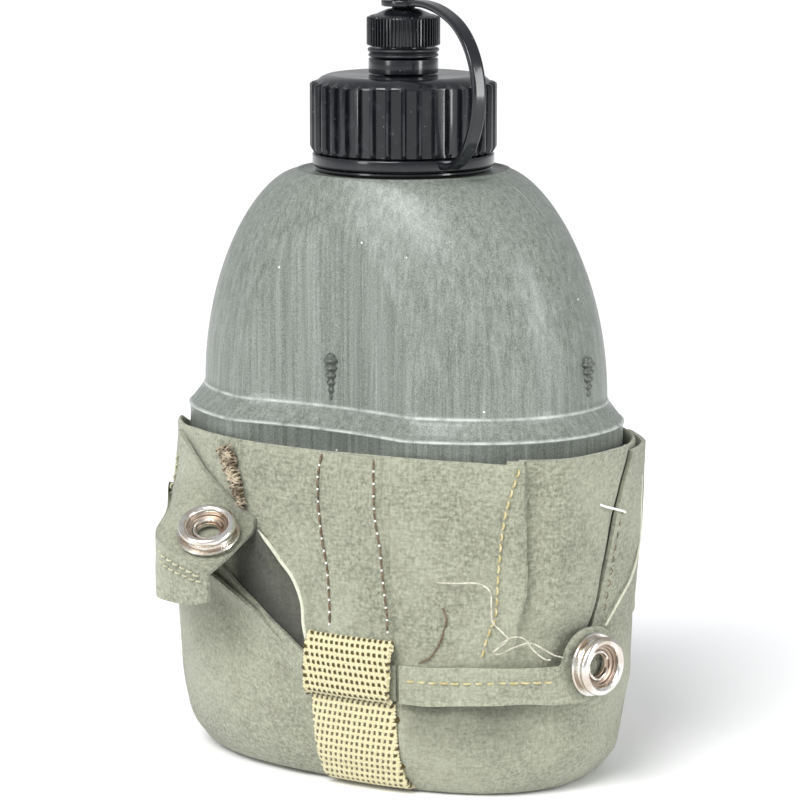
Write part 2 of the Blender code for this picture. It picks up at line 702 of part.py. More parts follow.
def left_frame():
    """The middle of the shelf at the snap, between two stations, and the way it faces."""
    corners = []
    for index in (0, 2):
        outward, path, foot = left_flap_station(index)
        for out, z in path[2:4]:
            corners.append(Vector((*(foot + outward * out), z)))
    near, far, near_end, far_end = corners
    normal = (near_end - near + far_end - far).cross(far - near + far_end - near_end).normalized()
    return sum(corners, Vector()) / 4, normal if normal.z > 0 else -normal


def right_frame():
    here = pouch_point(RIGHT_SNAP_DEG, RIGHT_SNAP_Z)
    ahead = pouch_point(RIGHT_SNAP_DEG + 1.0, RIGHT_SNAP_Z)
    tangent = (ahead - here).normalized()
    return here, Vector((tangent.y, -tangent.x, 0.0))


def snap(side, centre, normal, cloth_half):
    ring = turned(side + "_snap_ring", RING_PROFILE, nickel, SNAP_STEPS)
    spring = turned(side + "_snap_spring", SPRING_PROFILE, nickel, SNAP_STEPS)
    backing = turned(side + "_snap_backing", BACKING_PROFILE, nickel, SNAP_STEPS)
    face = centre + normal * (cloth_half + CLEARANCE)
    stand(ring, face, normal)
    stand(spring, face, normal)
    stand(backing, centre - normal * (cloth_half + CLEARANCE), -normal)


left_centre, left_normal = left_frame()
snap("left", left_centre, left_normal, CLOTH / 2 + SHELF_SAG)
right_centre, right_normal = right_frame()
tab_middle = CLEARANCE + TAB_STAND_OFF + STRAP_CLOTH / 2
snap("right", right_centre + right_normal * (tab_middle + 0.0004), right_normal, STRAP_CLOTH / 2 + 0.0007)
right_stud = turned("right_snap_stud", STUD_PROFILE, nickel, 24, closed=False)
stand(right_stud, right_centre + right_normal * CLEARANCE, right_normal)
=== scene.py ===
import math
import random

import bmesh
import bpy
from mathutils import Matrix, Vector, noise


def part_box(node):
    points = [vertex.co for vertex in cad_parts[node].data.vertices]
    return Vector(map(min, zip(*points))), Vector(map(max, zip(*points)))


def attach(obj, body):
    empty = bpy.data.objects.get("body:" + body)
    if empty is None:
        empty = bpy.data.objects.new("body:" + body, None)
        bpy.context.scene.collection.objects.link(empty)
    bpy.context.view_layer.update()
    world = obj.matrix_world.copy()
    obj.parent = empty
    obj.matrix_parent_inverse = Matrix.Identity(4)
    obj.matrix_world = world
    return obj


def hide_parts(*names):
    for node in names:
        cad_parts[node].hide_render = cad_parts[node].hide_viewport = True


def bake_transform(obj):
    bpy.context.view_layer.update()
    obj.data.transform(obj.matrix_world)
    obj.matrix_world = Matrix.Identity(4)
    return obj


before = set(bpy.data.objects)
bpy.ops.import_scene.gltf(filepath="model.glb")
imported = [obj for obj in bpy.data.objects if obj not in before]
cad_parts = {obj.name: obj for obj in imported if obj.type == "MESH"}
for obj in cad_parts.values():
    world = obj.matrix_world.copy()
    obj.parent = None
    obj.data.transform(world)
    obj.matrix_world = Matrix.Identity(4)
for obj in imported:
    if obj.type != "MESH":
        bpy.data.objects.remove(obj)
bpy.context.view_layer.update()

# ---- Camera, floor and light ----
# The canteen stands on a pale sweep. A long lens looks a little down on its front right corner, and
# two soft boxes, a broad key light and a bright surround light it as a small product table does.
VIEW_AZIMUTH = math.radians(34.76)
VIEW_DISTANCE = 0.9693
VIEW_HEIGHT = 0.26745
VIEW_DOWN = math.radians(9.865)
VIEW_TURN = math.radians(0.054)
view = bpy.data.cameras.new("view")
view.sensor_width = 36.0
view.lens = 162.0
camera = bpy.data.objects.new("camera", view)
camera.location = (VIEW_DISTANCE * math.sin(VIEW_AZIMUTH), -VIEW_DISTANCE * math.cos(VIEW_AZIMUTH),
                   VIEW_HEIGHT)
camera.rotation_euler = (math.pi / 2 - VIEW_DOWN, 0.0, VIEW_AZIMUTH + VIEW_TURN)
bpy.context.scene.collection.objects.link(camera)
bpy.context.scene.camera = camera
bpy.context.scene.view_settings.view_transform = "Standard"

world = bpy.data.worlds.new("surround")
world.use_nodes = True
world.node_tree.nodes["Background"].inputs["Color"].default_value = (0.96, 0.98, 1.0, 1.0)
world.node_tree.nodes["Background"].inputs["Strength"].default_value = 0.54
bpy.context.scene.world = world


def soft_box(name, azimuth_deg, distance, height, width, tall, power):
    lamp = bpy.data.lights.new(name, "AREA")
    lamp.shape = "RECTANGLE"
    lamp.size = width
    lamp.size_y = tall
    lamp.energy = power
    lamp_object = bpy.data.objects.new(name, lamp)
    a = VIEW_AZIMUTH + math.radians(azimuth_deg)
    lamp_object.location = (distance * math.sin(a), -distance * math.cos(a), height)
    aim = Vector((0.0, 0.0, 0.10)) - lamp_object.location
    lamp_object.rotation_euler = aim.to_track_quat("-Z", "Y").to_euler()
    bpy.context.scene.collection.objects.link(lamp_object)


soft_box("box_left", -52, 1.2, 0.60, 0.30, 0.9, 6.0)
soft_box("box_right", 58, 1.2, 0.45, 0.22, 0.9, 7.0)
key = bpy.data.lights.new("key", "SUN")
key.energy = 2.5
key.angle = math.radians(30)
key_object = bpy.data.objects.new("key", key)
KEY_AZIMUTH = VIEW_AZIMUTH - math.radians(28)
key_from = Vector((math.sin(KEY_AZIMUTH), -math.cos(KEY_AZIMUTH), 1.05))
key_object.rotation_euler = (-key_from).to_track_quat("-Z", "Y").to_euler()
bpy.context.scene.collection.objects.link(key_object)

floor_bm = bmesh.new()
bmesh.ops.create_grid(floor_bm, x_segments=1, y_segments=1, size=6.0)
floor_mesh = bpy.data.meshes.new("floor")
floor_bm.to_mesh(floor_mesh)
floor_bm.free()
floor = bpy.data.objects.new("floor", floor_mesh)
bpy.context.scene.collection.objects.link(floor)
pale = bpy.data.materials.new("pale_floor")
pale.use_nodes = True
pale.node_tree.nodes["Principled BSDF"].inputs["Base Color"].default_value = (0.97, 0.97, 0.97, 1.0)
pale.node_tree.nodes["Principled BSDF"].inputs["Roughness"].default_value = 0.8
floor_mesh.materials.append(pale)

# ---- Bottle ----
# One shell blown from olive polyethylene: a flat-sided body, a stepped ledge, a domed shoulder with an
# arch-topped flat on each broad face, and a plain round land under the neck. The satin skin carries
# fine upright scuffs from the mould and from the pouch.
LEDGE_FOOT_Z, LEDGE_TOP_Z, LAND_Z = 0.0965, 0.1020, 0.1620
LAND_R, NECK_R, NECK_BORE_R = 0.0292, 0.0195, 0.0165
NECK_TOP_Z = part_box("bottle_shell")[1][2]
BOTTLE_BASE_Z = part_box("bottle_shell")[0][2]
DOME_X, DOME_Y = 0.0595, 0.0400
BAND_X, BAND_Y = 0.0637, 0.0440
CORNER_Z = BOTTLE_BASE_Z + 0.0119
FACE_HALF = 0.0270
FACE_Y = 0.0336
FACE_BOW = 0.0026
BOTTLE_WALL = 0.0020
EDGE_HIGHLIGHT_REACH = 0.00055


def superellipse(t, half_x, half_y, squareness):
    power = 2.0 / squareness
    x = half_x * math.copysign(abs(math.cos(t)) ** power, math.cos(t))
    y = half_y * math.copysign(abs(math.sin(t)) ** power, math.sin(t))
    return x, y


def ease(value):
    value = max(0.0, min(1.0, value))
    return value * value * (3.0 - 2.0 * value)


def body_size(z):
    """Half width, half depth, squareness and how far the flats stand out at a height."""
    if z <= CORNER_Z:
        share = math.sqrt(max(0.0, 1.0 - ((CORNER_Z - z) / (CORNER_Z - BOTTLE_BASE_Z)) ** 2))
        return 0.0500 + 0.0110 * share, 0.0290 + 0.0115 * share, 2.15, 0.0200
    if z <= LEDGE_FOOT_Z:
        share = 1.0 - (1.0 - (z - CORNER_Z) / (LEDGE_FOOT_Z - CORNER_Z)) ** 2
        flat = 0.0160 * (1.0 - ease((z - CORNER_Z) / 0.018)) + BAND_Y - DOME_Y
        return 0.0610 + (BAND_X - 0.0610) * share, 0.0405 + (BAND_Y - 0.0405) * share, 2.15, flat
    if z <= LEDGE_TOP_Z:
        share = (z - LEDGE_FOOT_Z) / (LEDGE_TOP_Z - LEDGE_FOOT_Z)
        out = (BAND_Y - DOME_Y) * (1.0 - share)
        return BAND_X + (DOME_X - BAND_X) * share, DOME_Y + out, 2.15, out
    rise = 1.0 - ((z - LEDGE_TOP_Z) / (LAND_Z - LEDGE_TOP_Z)) ** 2
    share_x, share_y = max(0.0, rise) ** 0.6, max(0.0, rise) ** 0.95
    half_x, half_y = LAND_R + (DOME_X - LAND_R) * share_x, LAND_R + (DOME_Y - LAND_R) * share_y
    return half_x, half_y, 2.0 + 0.15 * share_x, 0.0


def soft_min(a, b, reach):
    h = max(0.0, min(1.0, 0.5 + 0.5 * (b - a) / reach))
    return b * (1.0 - h) + a * h - reach * h * (1.0 - h)


def bottle_point(t, z, inset=0.0, bead=0.0):
    half_x, half_y, squareness, out = body_size(z)
    x, y = superellipse(t, half_x - inset + bead, half_y - inset + bead, squareness)
    flat = FACE_Y + FACE_BOW * (x / FACE_HALF) ** 2 + out - inset + bead
    return x, math.copysign(soft_min(abs(y), flat, 0.0014), y), z


def unit_tube(steps, levels):
    """A plain tube of radius 1 with its levels one apart, for shaping."""
    bm = bmesh.new()
    bmesh.ops.create_circle(bm, segments=steps, radius=1.0)
    edges = list(bm.edges)
    for _ in range(levels - 1):
        raised = bmesh.ops.extrude_edge_only(bm, edges=edges)["geom"]
        bmesh.ops.translate(bm, verts=[g for g in raised if isinstance(g, bmesh.types.BMVert)], vec=(0, 0, 1))
        edges = [g for g in raised if isinstance(g, bmesh.types.BMEdge)]
    return bm


def shape_tube(bm, place):
    """Moves each corner of a unit tube to place(angle, level) and closes its poles."""
    for v in bm.verts:
        v.co = place(math.atan2(v.co.y, v.co.x), round(v.co.z))
    bmesh.ops.remove_doubles(bm, verts=bm.verts, dist=0.000004)
    bmesh.ops.recalc_face_normals(bm, faces=bm.faces)


def piece(name, bm, finish, body, slot, smooth_deg=40.0, *nodes):
    """Makes an object of a bmesh, gives it its finish and lets it ride on a body."""
    mesh = bpy.data.meshes.new(name)
    bm.to_mesh(mesh)
    bm.free()
    mesh.shade_smooth()
    if smooth_deg:
        mesh.set_sharp_from_angle(angle=math.radians(smooth_deg))
    mesh.materials.append(finish)
    made = bpy.data.objects.new(name, mesh)
    bpy.context.scene.collection.objects.link(made)
    if body:
        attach(made, body)
    if nodes:
        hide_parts(*nodes)
    return made


def new_finish(name, colour, roughness, **fixed):
    """A Principled material and a short way to add and join its nodes."""
    made = bpy.data.materials.new(name)
    made.use_nodes = True
    tree = made.node_tree
    shader = tree.nodes["Principled BSDF"]
    shader.inputs["Base Color"].default_value = (*colour, 1.0)
    shader.inputs["Roughness"].default_value = roughness
    for socket, value in fixed.items():
        shader.inputs[socket.replace("_", " ")].default_value = value
    return made, tree, shader


def add(tree, kind, inputs=None, **settings):
    """Adds a node; inputs maps socket names or numbers to a value or to (node, output)."""
    made = tree.nodes.new("ShaderNode" + kind)
    for key, value in settings.items():
        setattr(made, key, value)
    for key, value in (inputs or {}).items():
        if isinstance(value, tuple) and isinstance(value[0], bpy.types.Node):
            tree.links.new(value[0].outputs[value[1]], made.inputs[key])
        else:
            made.inputs[key].default_value = value
    return made


def ramp(tree, source, stops):
    """A colour ramp; stops are (position, grey or colour)."""
    made = add(tree, "ValToRGB", {"Fac": source})
    bar = made.color_ramp
    while len(bar.elements) < len(stops):
        bar.elements.new(0.5)
    for element, (position, value) in zip(bar.elements, stops):
        element.position = position
        element.color = (*value, 1.0) if isinstance(value, tuple) else (value, value, value, 1.0)
    return made


def calc(tree, operation, first, second=None):
    """A Math node."""
    return add(tree, "Math", {0: first} if second is None else {0: first, 1: second}, operation=operation)


def speckle(tree, place, scale, detail=2.0, roughness=0.5):
    """A Noise Texture node."""
    return add(tree, "TexNoise", {"Vector": place, "Scale": scale, "Detail": detail, "Roughness": roughness})


def stretch(tree, value, source, target):
    """A Map Range node from one (low, high) to another."""
    return add(tree, "MapRange", {"Value": value, "From Min": source[0], "From Max": source[1],
                                  "To Min": target[0], "To Max": target[1]})


def mix(tree, factor, first, second, blend="MIX"):
    made = add(tree, "Mix", data_type="RGBA", blend_type=blend)
    for socket, value in ((0, factor), (6, first), (7, second)):
        if isinstance(value, tuple) and isinstance(value[0], bpy.types.Node):
            tree.links.new(value[0].outputs[value[1]], made.inputs[socket])
        elif socket == 0:
            made.inputs[0].default_value = value
        else:
            made.inputs[socket].default_value = (*value, 1.0)
    return made


def olive_finish(name, dark, light):
    made, tree, shader = new_finish(name, light, 0.36, Coat_Weight=0.08, Coat_Roughness=0.20,
                                    Specular_IOR_Level=0.36)
    place = add(tree, "TexCoord")
    upright = add(tree, "Mapping", {"Vector": (place, "Object"), "Scale": (1.0, 1.0, 0.018)})
    streak = speckle(tree, (upright, 0), 1300.0, 4.0, 0.7)
    broad = speckle(tree, (upright, 0), 260.0, 3.0)
    mottle = speckle(tree, (upright, 0), 700.0, 6.0, 0.75)
    grain = speckle(tree, (place, "Object"), 2600.0, 2.0)
    speck = add(tree, "TexVoronoi", {"Vector": (place, "Object"), "Scale": 95.0})
    fine = mix(tree, 0.45, (mottle, 0), (grain, 0))
    base = mix(tree, (ramp(tree, (fine, 2), [(0.40, 0.0), (0.62, 1.0)]), 0), dark, light)
    scuff = ramp(tree, (streak, 0), [(0.54, 0.0), (0.80, 0.50)])
    pale_streak = mix(tree, (scuff, 0), (base, 2), (0.36, 0.39, 0.37))
    dots = ramp(tree, (speck, "Distance"), [(0.026, 1.0), (0.036, 0.0)])
    dotted = mix(tree, (dots, 0), (pale_streak, 2), (0.70, 0.72, 0.68))
    height = add(tree, "SeparateXYZ", {"Vector": (place, "Object")})
    # painted highlight: paler bands along the ledge's top and foot edges stand in for their bright edge
    # lines, broken into patches like wear
    wear_and_edge_highlight = dotted
    for edge_z in (LEDGE_TOP_Z, LEDGE_FOOT_Z):
        away = calc(tree, "SUBTRACT", (height, 2), edge_z)
        near = calc(tree, "ABSOLUTE", (away, 0))
        edge_highlight_band = stretch(tree, (near, 0), (0.0, EDGE_HIGHLIGHT_REACH), (0.75, 0.0))
        patches = ramp(tree, (broad, 0), [(0.30, 0.25), (0.60, 1.0)])
        patchy = calc(tree, "MULTIPLY", (edge_highlight_band, 0), (patches, 0))
        wear_and_edge_highlight = mix(tree, (patchy, 0), (wear_and_edge_highlight, 2), (0.60, 0.63, 0.60))
    tree.links.new(wear_and_edge_highlight.outputs[2], shader.inputs["Base Color"])
    rough = stretch(tree, (broad, 0), (0.3, 0.7), (0.26, 0.42))
    tree.links.new(rough.outputs[0], shader.inputs["Roughness"])
    lines = add(tree, "Bump", {"Height": (streak, 0), "Strength": 0.10, "Distance": 0.0004})
    skin = add(tree, "Bump", {"Height": (grain, 0), "Strength": 0.10, "Distance": 0.0002,
                              "Normal": (lines, 0)})
    tree.links.new(skin.outputs[0], shader.inputs["Normal"])
    return made


olive = olive_finish("olive_polyethylene", (0.105, 0.118, 0.101), (0.238, 0.262, 0.236))


def bottle_levels():
    """The bottle's path from the middle of its base, up outside, over the lip and down inside."""
    path = [("ring", 0.001, BOTTLE_BASE_Z), ("ring", 0.030, BOTTLE_BASE_Z)]
    path += [("out", CORNER_Z - (CORNER_Z - BOTTLE_BASE_Z) * math.cos(math.radians(a)), 0.0)
             for a in range(0, 90, 9)]
    path += [("out", CORNER_Z + (LEDGE_FOOT_Z - 0.0006 - CORNER_Z) * i / 16, 0.0) for i in range(17)]
    edge = 0.00036
    for z, bead in ((LEDGE_FOOT_Z - 0.0003, edge), (LEDGE_FOOT_Z, edge), (LEDGE_FOOT_Z + 0.0003, 0.0),
                    (LEDGE_FOOT_Z + 0.0018, 0.0), (LEDGE_FOOT_Z + 0.0037, 0.0),
                    (LEDGE_TOP_Z - 0.0004, 0.0), (LEDGE_TOP_Z, edge), (LEDGE_TOP_Z + 0.0004, 0.0)):
        path.append(("out", z, bead))
    path += [("out", LEDGE_TOP_Z + (LAND_Z - LEDGE_TOP_Z) * math.sin(math.radians(a / 2)), 0.0)
             for a in range(4, 178, 3)]
    path += [("ring", LAND_R, LAND_Z), ("ring", LAND_R - 0.0003, LAND_Z + 0.0005),
             ("ring", LAND_R - 0.0009, LAND_Z + 0.0005), ("ring", LAND_R - 0.0013, LAND_Z),
             ("ring", NECK_R + 0.0012, LAND_Z), ("ring", NECK_R + 0.0004, LAND_Z + 0.0004),
             ("ring", NECK_R, LAND_Z + 0.0012), ("ring", NECK_R, NECK_TOP_Z - 0.0006),
             ("ring", NECK_R - 0.0005, NECK_TOP_Z), ("ring", NECK_BORE_R + 0.0005, NECK_TOP_Z),
             ("ring", NECK_BORE_R, NECK_TOP_Z - 0.0006), ("ring", NECK_BORE_R, LAND_Z - BOTTLE_WALL)]
    path += [("in", LEDGE_TOP_Z + (LAND_Z - LEDGE_TOP_Z) * math.sin(math.radians(a)) - BOTTLE_WALL, 0.0)
             for a in range(80, -1, -10)]
    path += [("in", z, 0.0) for z in (0.085, 0.055, 0.025, CORNER_Z, 0.0090, BOTTLE_BASE_Z + BOTTLE_WALL)]
    path.append(("ring", 0.001, BOTTLE_BASE_Z + BOTTLE_WALL))
    return path


levels = bottle_levels()


def bottle_place(t, level):
    kind, first, second = levels[level]
    if kind == "ring":
        radius = 0.0 if first <= 0.001 else first
        return radius * math.cos(t), radius * math.sin(t), second
    if kind == "in":
        return bottle_point(t, first, BOTTLE_WALL)
    return bottle_point(t, first, 0.0, second)


bm = unit_tube(224, len(levels))
shape_tube(bm, bottle_place)
piece("bottle", bm, olive, "bottle", "olive_plastic", 0.0, "bottle_shell")

# ---- Mould marks on the bottle ----
# The mould's halves leave a thin bead over both narrow ends, and each face has a small tapering nub
# with a few ridges just above the ledge. They are one moulding with the shell.
NUB_TOP_Z, NUB_FOOT_Z = 0.1163, 0.1033


def tube_along(points, radius, sides=8):
    """A closed tube through the points, with a ring of corners square to the path at each."""
    bm = unit_tube(sides, len(points))
    frames = []
    side = None
    for i, here in enumerate(points):
        ahead = points[min(i + 1, len(points) - 1)]
        behind = points[max(i - 1, 0)]
        along = (ahead - behind).normalized()
        if side is None:
            side = along.orthogonal().normalized()
        side = (side - along * side.dot(along)).normalized()
        frames.append((here, side, along.cross(side)))
    get = radius if callable(radius) else (lambda share: radius)
    last = len(points) - 1
    for v in bm.verts:
        t, i = math.atan2(v.co.y, v.co.x), round(v.co.z)
        here, a, b = frames[i]
        v.co = here + (a * math.cos(t) + b * math.sin(t)) * get(i / last)
    bmesh.ops.holes_fill(bm, edges=[e for e in bm.edges if e.is_boundary])
    bmesh.ops.recalc_face_normals(bm, faces=bm.faces)
    return bm


def merge(target, source):
    """Adds one bmesh to another."""
    mesh = bpy.data.meshes.new("joined")
    source.to_mesh(mesh)
    source.free()
    target.from_mesh(mesh)
    bpy.data.meshes.remove(mesh)


marks, nubs = bmesh.new(), bmesh.new()
for end in (0.0, math.pi):
    route = [Vector(bottle_point(end, z)) for z in
             [LEDGE_TOP_Z + (LAND_Z - LEDGE_TOP_Z) * math.sin(math.radians(a)) for a in range(88, -1, -2)]]
    route += [Vector(bottle_point(end, z)) for z in (LEDGE_FOOT_Z, 0.090, 0.060, 0.030, CORNER_Z)]
    merge(marks, tube_along(route, 0.00022, 6))
middle_z = (NUB_TOP_Z + NUB_FOOT_Z) / 2
for angle_deg in (0, 90, 180, 270):
    where = Vector(bottle_point(math.radians(angle_deg), middle_z))
    outward = Vector((math.cos(math.radians(angle_deg)), math.sin(math.radians(angle_deg)), 0.0))
    steps = 44
    route = [where + Vector((0, 0, NUB_TOP_Z - middle_z - (NUB_TOP_Z - NUB_FOOT_Z) * i / steps))
             - outward * 0.0003 for i in range(steps + 1)]

    def nub_radius(share):
        taper = 0.0024 * (1.0 - share) ** 0.75 + 0.0003
        crown = math.sqrt(min(1.0, share / 0.08 + 0.02))
        return taper * crown * (0.80 + 0.20 * math.cos(share * 6.5 * 2.0 * math.pi))

    merge(nubs, tube_along(route, nub_radius, 18))
piece("bottle_mould_marks", marks, olive, "bottle", "olive_plastic", 60.0)
# painted shade: the nubs are the shell's own plastic, but take a darker copy of its finish for the shade
# round their ridges
shaded_olive = olive_finish("painted_shade_olive_polyethylene", (0.050, 0.056, 0.048), (0.120, 0.132, 0.116))
piece("bottle_nubs", nubs, shaded_olive, "bottle", "olive_plastic", 60.0)

# ---- Neck thread ----
# A round-crested helical thread is moulded on the neck. It shows only when the large cap is off.
THREAD_PITCH, THREAD_TURNS = 0.0050, 2.4
THREAD_STEPS = 40
THREAD_START_Z = LAND_Z + 0.0055
helix = []
for i in range(int(THREAD_TURNS * THREAD_STEPS) + 1):
    share = i / THREAD_STEPS
    a = 2.0 * math.pi * share
    helix.append(Vector((NECK_R * math.cos(a), NECK_R * math.sin(a), THREAD_START_Z + THREAD_PITCH * share)))
bm = tube_along(helix, lambda share: 0.0010 * min(1.0, share * 14 + 0.15, (1 - share) * 14 + 0.15), 10)
piece("neck_thread", bm, olive, "bottle", "olive_plastic", 60.0)

# ---- Large screw cap ----
# Injection-moulded in black gloss plastic: a plain foot that the strap's ring sits round, thirty-six
# narrow grip ribs, a rounded shoulder and a flat top. It screws down on the neck over a gasket.
CAP_FOOT_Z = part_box("screw_cap")[0][2]
CAP_TOP_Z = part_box("screw_cap")[1][2]
CAP_R = 0.0252
CAP_RIBS = 36
CAP_FLOOR_R = 0.0236
CAP_BORE_R = 0.0212


def black_finish(name, roughness, dust):
    made, tree, shader = new_finish(name, (0.006, 0.007, 0.009), roughness, Coat_Weight=0.35,
                                    Coat_Roughness=0.05, Specular_IOR_Level=0.35)
    place = add(tree, "TexCoord")
    wear = speckle(tree, (place, "Object"), 320.0, 6.0, 0.7)
    haze = speckle(tree, (place, "Object"), 60.0, 3.0)
    motes = add(tree, "TexVoronoi", {"Vector": (place, "Object"), "Scale": 420.0})
    tone = mix(tree, (ramp(tree, (wear, 0), [(0.52, 0.0), (0.80, dust)]), 0),
               (0.006, 0.007, 0.009), (0.07, 0.075, 0.09))
    dotted = mix(tree, (ramp(tree, (motes, "Distance"), [(0.045, 0.5), (0.07, 0.0)]), 0),
                 (tone, 2), (0.34, 0.34, 0.36))
    tree.links.new(dotted.outputs[2], shader.inputs["Base Color"])
    rough = stretch(tree, (haze, 0), (0.3, 0.7), (roughness - 0.05, roughness + 0.10))
    tree.links.new(rough.outputs[0], shader.inputs["Roughness"])
    bump = add(tree, "Bump", {"Height": (wear, 0), "Strength": 0.06, "Distance": 0.0003})
    tree.links.new(bump.outputs[0], shader.inputs["Normal"])
    return made


black = black_finish("black_gloss", 0.20, 0.35)


def rib_height(t, ribs, crest_share):
    """1 on a rib's crest, 0 on the floor between two, with rounded flanks."""
    phase = (t * ribs / (2.0 * math.pi)) % 1.0
    away = abs(phase - 0.5) * 2.0
    return 1.0 - ease((away - crest_share) / 0.16)


# height, plain radius, rib crest radius
CAP_LEVELS = [
    (CAP_FOOT_Z, 0.0224, 0.0), (CAP_FOOT_Z, 0.0238, 0.0), (CAP_FOOT_Z + 0.0003, 0.0241, 0.0),
    (CAP_FOOT_Z + 0.0007, 0.0240, 0.0), (CAP_FOOT_Z + 0.0009, 0.0226, 0.0), (0.1669, 0.0226, 0.0),
    (0.1671, 0.0234, 0.0236), (0.1674, CAP_FLOOR_R, 0.0244), (0.1681, CAP_FLOOR_R, 0.0249),
    (0.1688, CAP_FLOOR_R, CAP_R), (0.1770, CAP_FLOOR_R, CAP_R), (0.1852, CAP_FLOOR_R, CAP_R),
    (0.1856, CAP_FLOOR_R, 0.0251), (0.1858, 0.0235, 0.0247), (0.1860, 0.0234, 0.0236),
    (0.1866, 0.0229, 0.0), (0.1872, 0.0222, 0.0), (0.1876, 0.0213, 0.0), (0.1879, 0.0204, 0.0),
    (CAP_TOP_Z, 0.0196, 0.0), (CAP_TOP_Z, 0.0194, 0.0), (CAP_TOP_Z, 0.0120, 0.0), (CAP_TOP_Z, 0.0053, 0.0),
    (0.1853, 0.0053, 0.0), (0.1853, CAP_BORE_R, 0.0), (0.1700, CAP_BORE_R, 0.0),
    (CAP_FOOT_Z, CAP_BORE_R, 0.0), (CAP_FOOT_Z, 0.0224, 0.0),
]


def cap_place(t, level):
    z, plain, crest = CAP_LEVELS[level]
    radius = plain + (max(crest, plain) - plain) * rib_height(t, CAP_RIBS, 0.20)
    return radius * math.cos(t), radius * math.sin(t), z


bm = unit_tube(CAP_RIBS * 16, len(CAP_LEVELS))
shape_tube(bm, cap_place)
piece("large_cap", bm, black, "cap", "black_plastic", 32.0, "screw_cap")

# ---- Gasket and liner ----
# A flat black rubber ring seals the bottle's lip inside the large cap, and a pale soft disc seals the
# spout inside the small one. They are punched from sheet and pressed home.
rubber = black_finish("black_rubber", 0.42, 0.5)


def turned(steps, profile):
    """A closed ring or a solid, turned from (radius, height) points with a full spin."""
    bm = bmesh.new()
    corners = [bm.verts.new((r, 0.0, z)) for r, z in profile]
    edges = [bm.edges.new(pair) for pair in zip(corners, corners[1:])]
    if min(r for r, z in profile) > 0.0:
        edges.append(bm.edges.new((corners[-1], corners[0])))
    bmesh.ops.spin(bm, geom=corners + edges, cent=(0, 0, 0), axis=(0, 0, 1), dvec=(0, 0, 0),
                   angle=2.0 * math.pi, steps=steps, use_merge=True)
    bmesh.ops.remove_doubles(bm, verts=bm.verts, dist=0.000003)
    bmesh.ops.recalc_face_normals(bm, faces=bm.faces)
    return bm


def rounded(profile, radius, segments=3):
    """Rounds each corner of an open or closed (radius, height) outline."""
    made = []
    count = len(profile)
    closed = min(r for r, z in profile) > 0.0
    for i, (r, z) in enumerate(profile):
        if not closed and i in (0, count - 1):
            made.append((r, z))
            continue
        here = Vector((r, z))
        before, after = Vector(profile[i - 1]), Vector(profile[(i + 1) % count])
        reach = min(radius, (before - here).length * 0.45, (after - here).length * 0.45)
        start = here + (before - here).normalized() * reach
        end = here + (after - here).normalized() * reach
        for k in range(segments + 1):
            s = k / segments
            point = start * (1 - s) ** 2 + here * 2 * s * (1 - s) + end * s ** 2
            made.append((point.x, point.y))
    return made


def hoop(steps, outer, inner, top, foot, edge):
    """A flat ring with its edges rounded off."""
    return turned(steps, rounded([(outer, top), (outer, foot), (inner, foot), (inner, top)], edge))


low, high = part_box("cap_gasket")[0][2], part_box("cap_gasket")[1][2]
piece("gasket", hoop(72, 0.0203, 0.0160, high, low, 0.0004), rubber, "gasket", "black_rubber", 40.0,
      "cap_gasket")
low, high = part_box("spout_cap_liner")[0][2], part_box("spout_cap_liner")[1][2]
liner_finish, tree, shader = new_finish("pale_liner", (0.62, 0.62, 0.57), 0.55)
cells = speckle(tree, (add(tree, "TexCoord"), "Object"), 1500.0, 3.0)
tree.links.new(add(tree, "Bump", {"Height": (cells, 0), "Strength": 0.2, "Distance": 0.0002}).outputs[0],
               shader.inputs["Normal"])
tone = mix(tree, (cells, 0), (0.55, 0.55, 0.50), (0.68, 0.68, 0.64))
tree.links.new(tone.outputs[2], shader.inputs["Base Color"])
disc = rounded([(0.0, high), (0.0060, high), (0.0060, low), (0.0, low)], 0.0002)
piece("liner", turned(48, disc), liner_finish, "spout_cap", "liner_plastic", 40.0, "spout_cap_liner")

# ---- Spout ----
# The spout's collar stands on the cap as a plain glossy drum. A thin tube runs up from it into the
# small cap, and a pinched black ring lies between the two.
COLLAR_R = 0.0094
collar = rounded([
    (0.0060, 0.2000), (0.0060, 0.1923), (COLLAR_R, 0.1923), (COLLAR_R, 0.1883), (0.0050, 0.1883),
    (0.0050, 0.1853), (0.0036, 0.1853), (0.0036, 0.2000),
], 0.0004)
piece("spout", turned(96, collar), black, "cap", "black_plastic", 32.0, "spout_nozzle")
pinched = rounded([
    (COLLAR_R - 0.0001, 0.1951), (COLLAR_R + 0.0003, 0.1947), (COLLAR_R + 0.0001, 0.1941),
    (COLLAR_R - 0.0005, 0.1937), (COLLAR_R + 0.0001, 0.1933), (COLLAR_R, 0.1928), (COLLAR_R - 0.0006, 0.1926),
    (0.0063, 0.1926), (0.0063, 0.1951),
], 0.0002)
piece("spout_ring_visible", turned(96, pinched), rubber, "cap", "black_rubber", 50.0, "spout_ring")

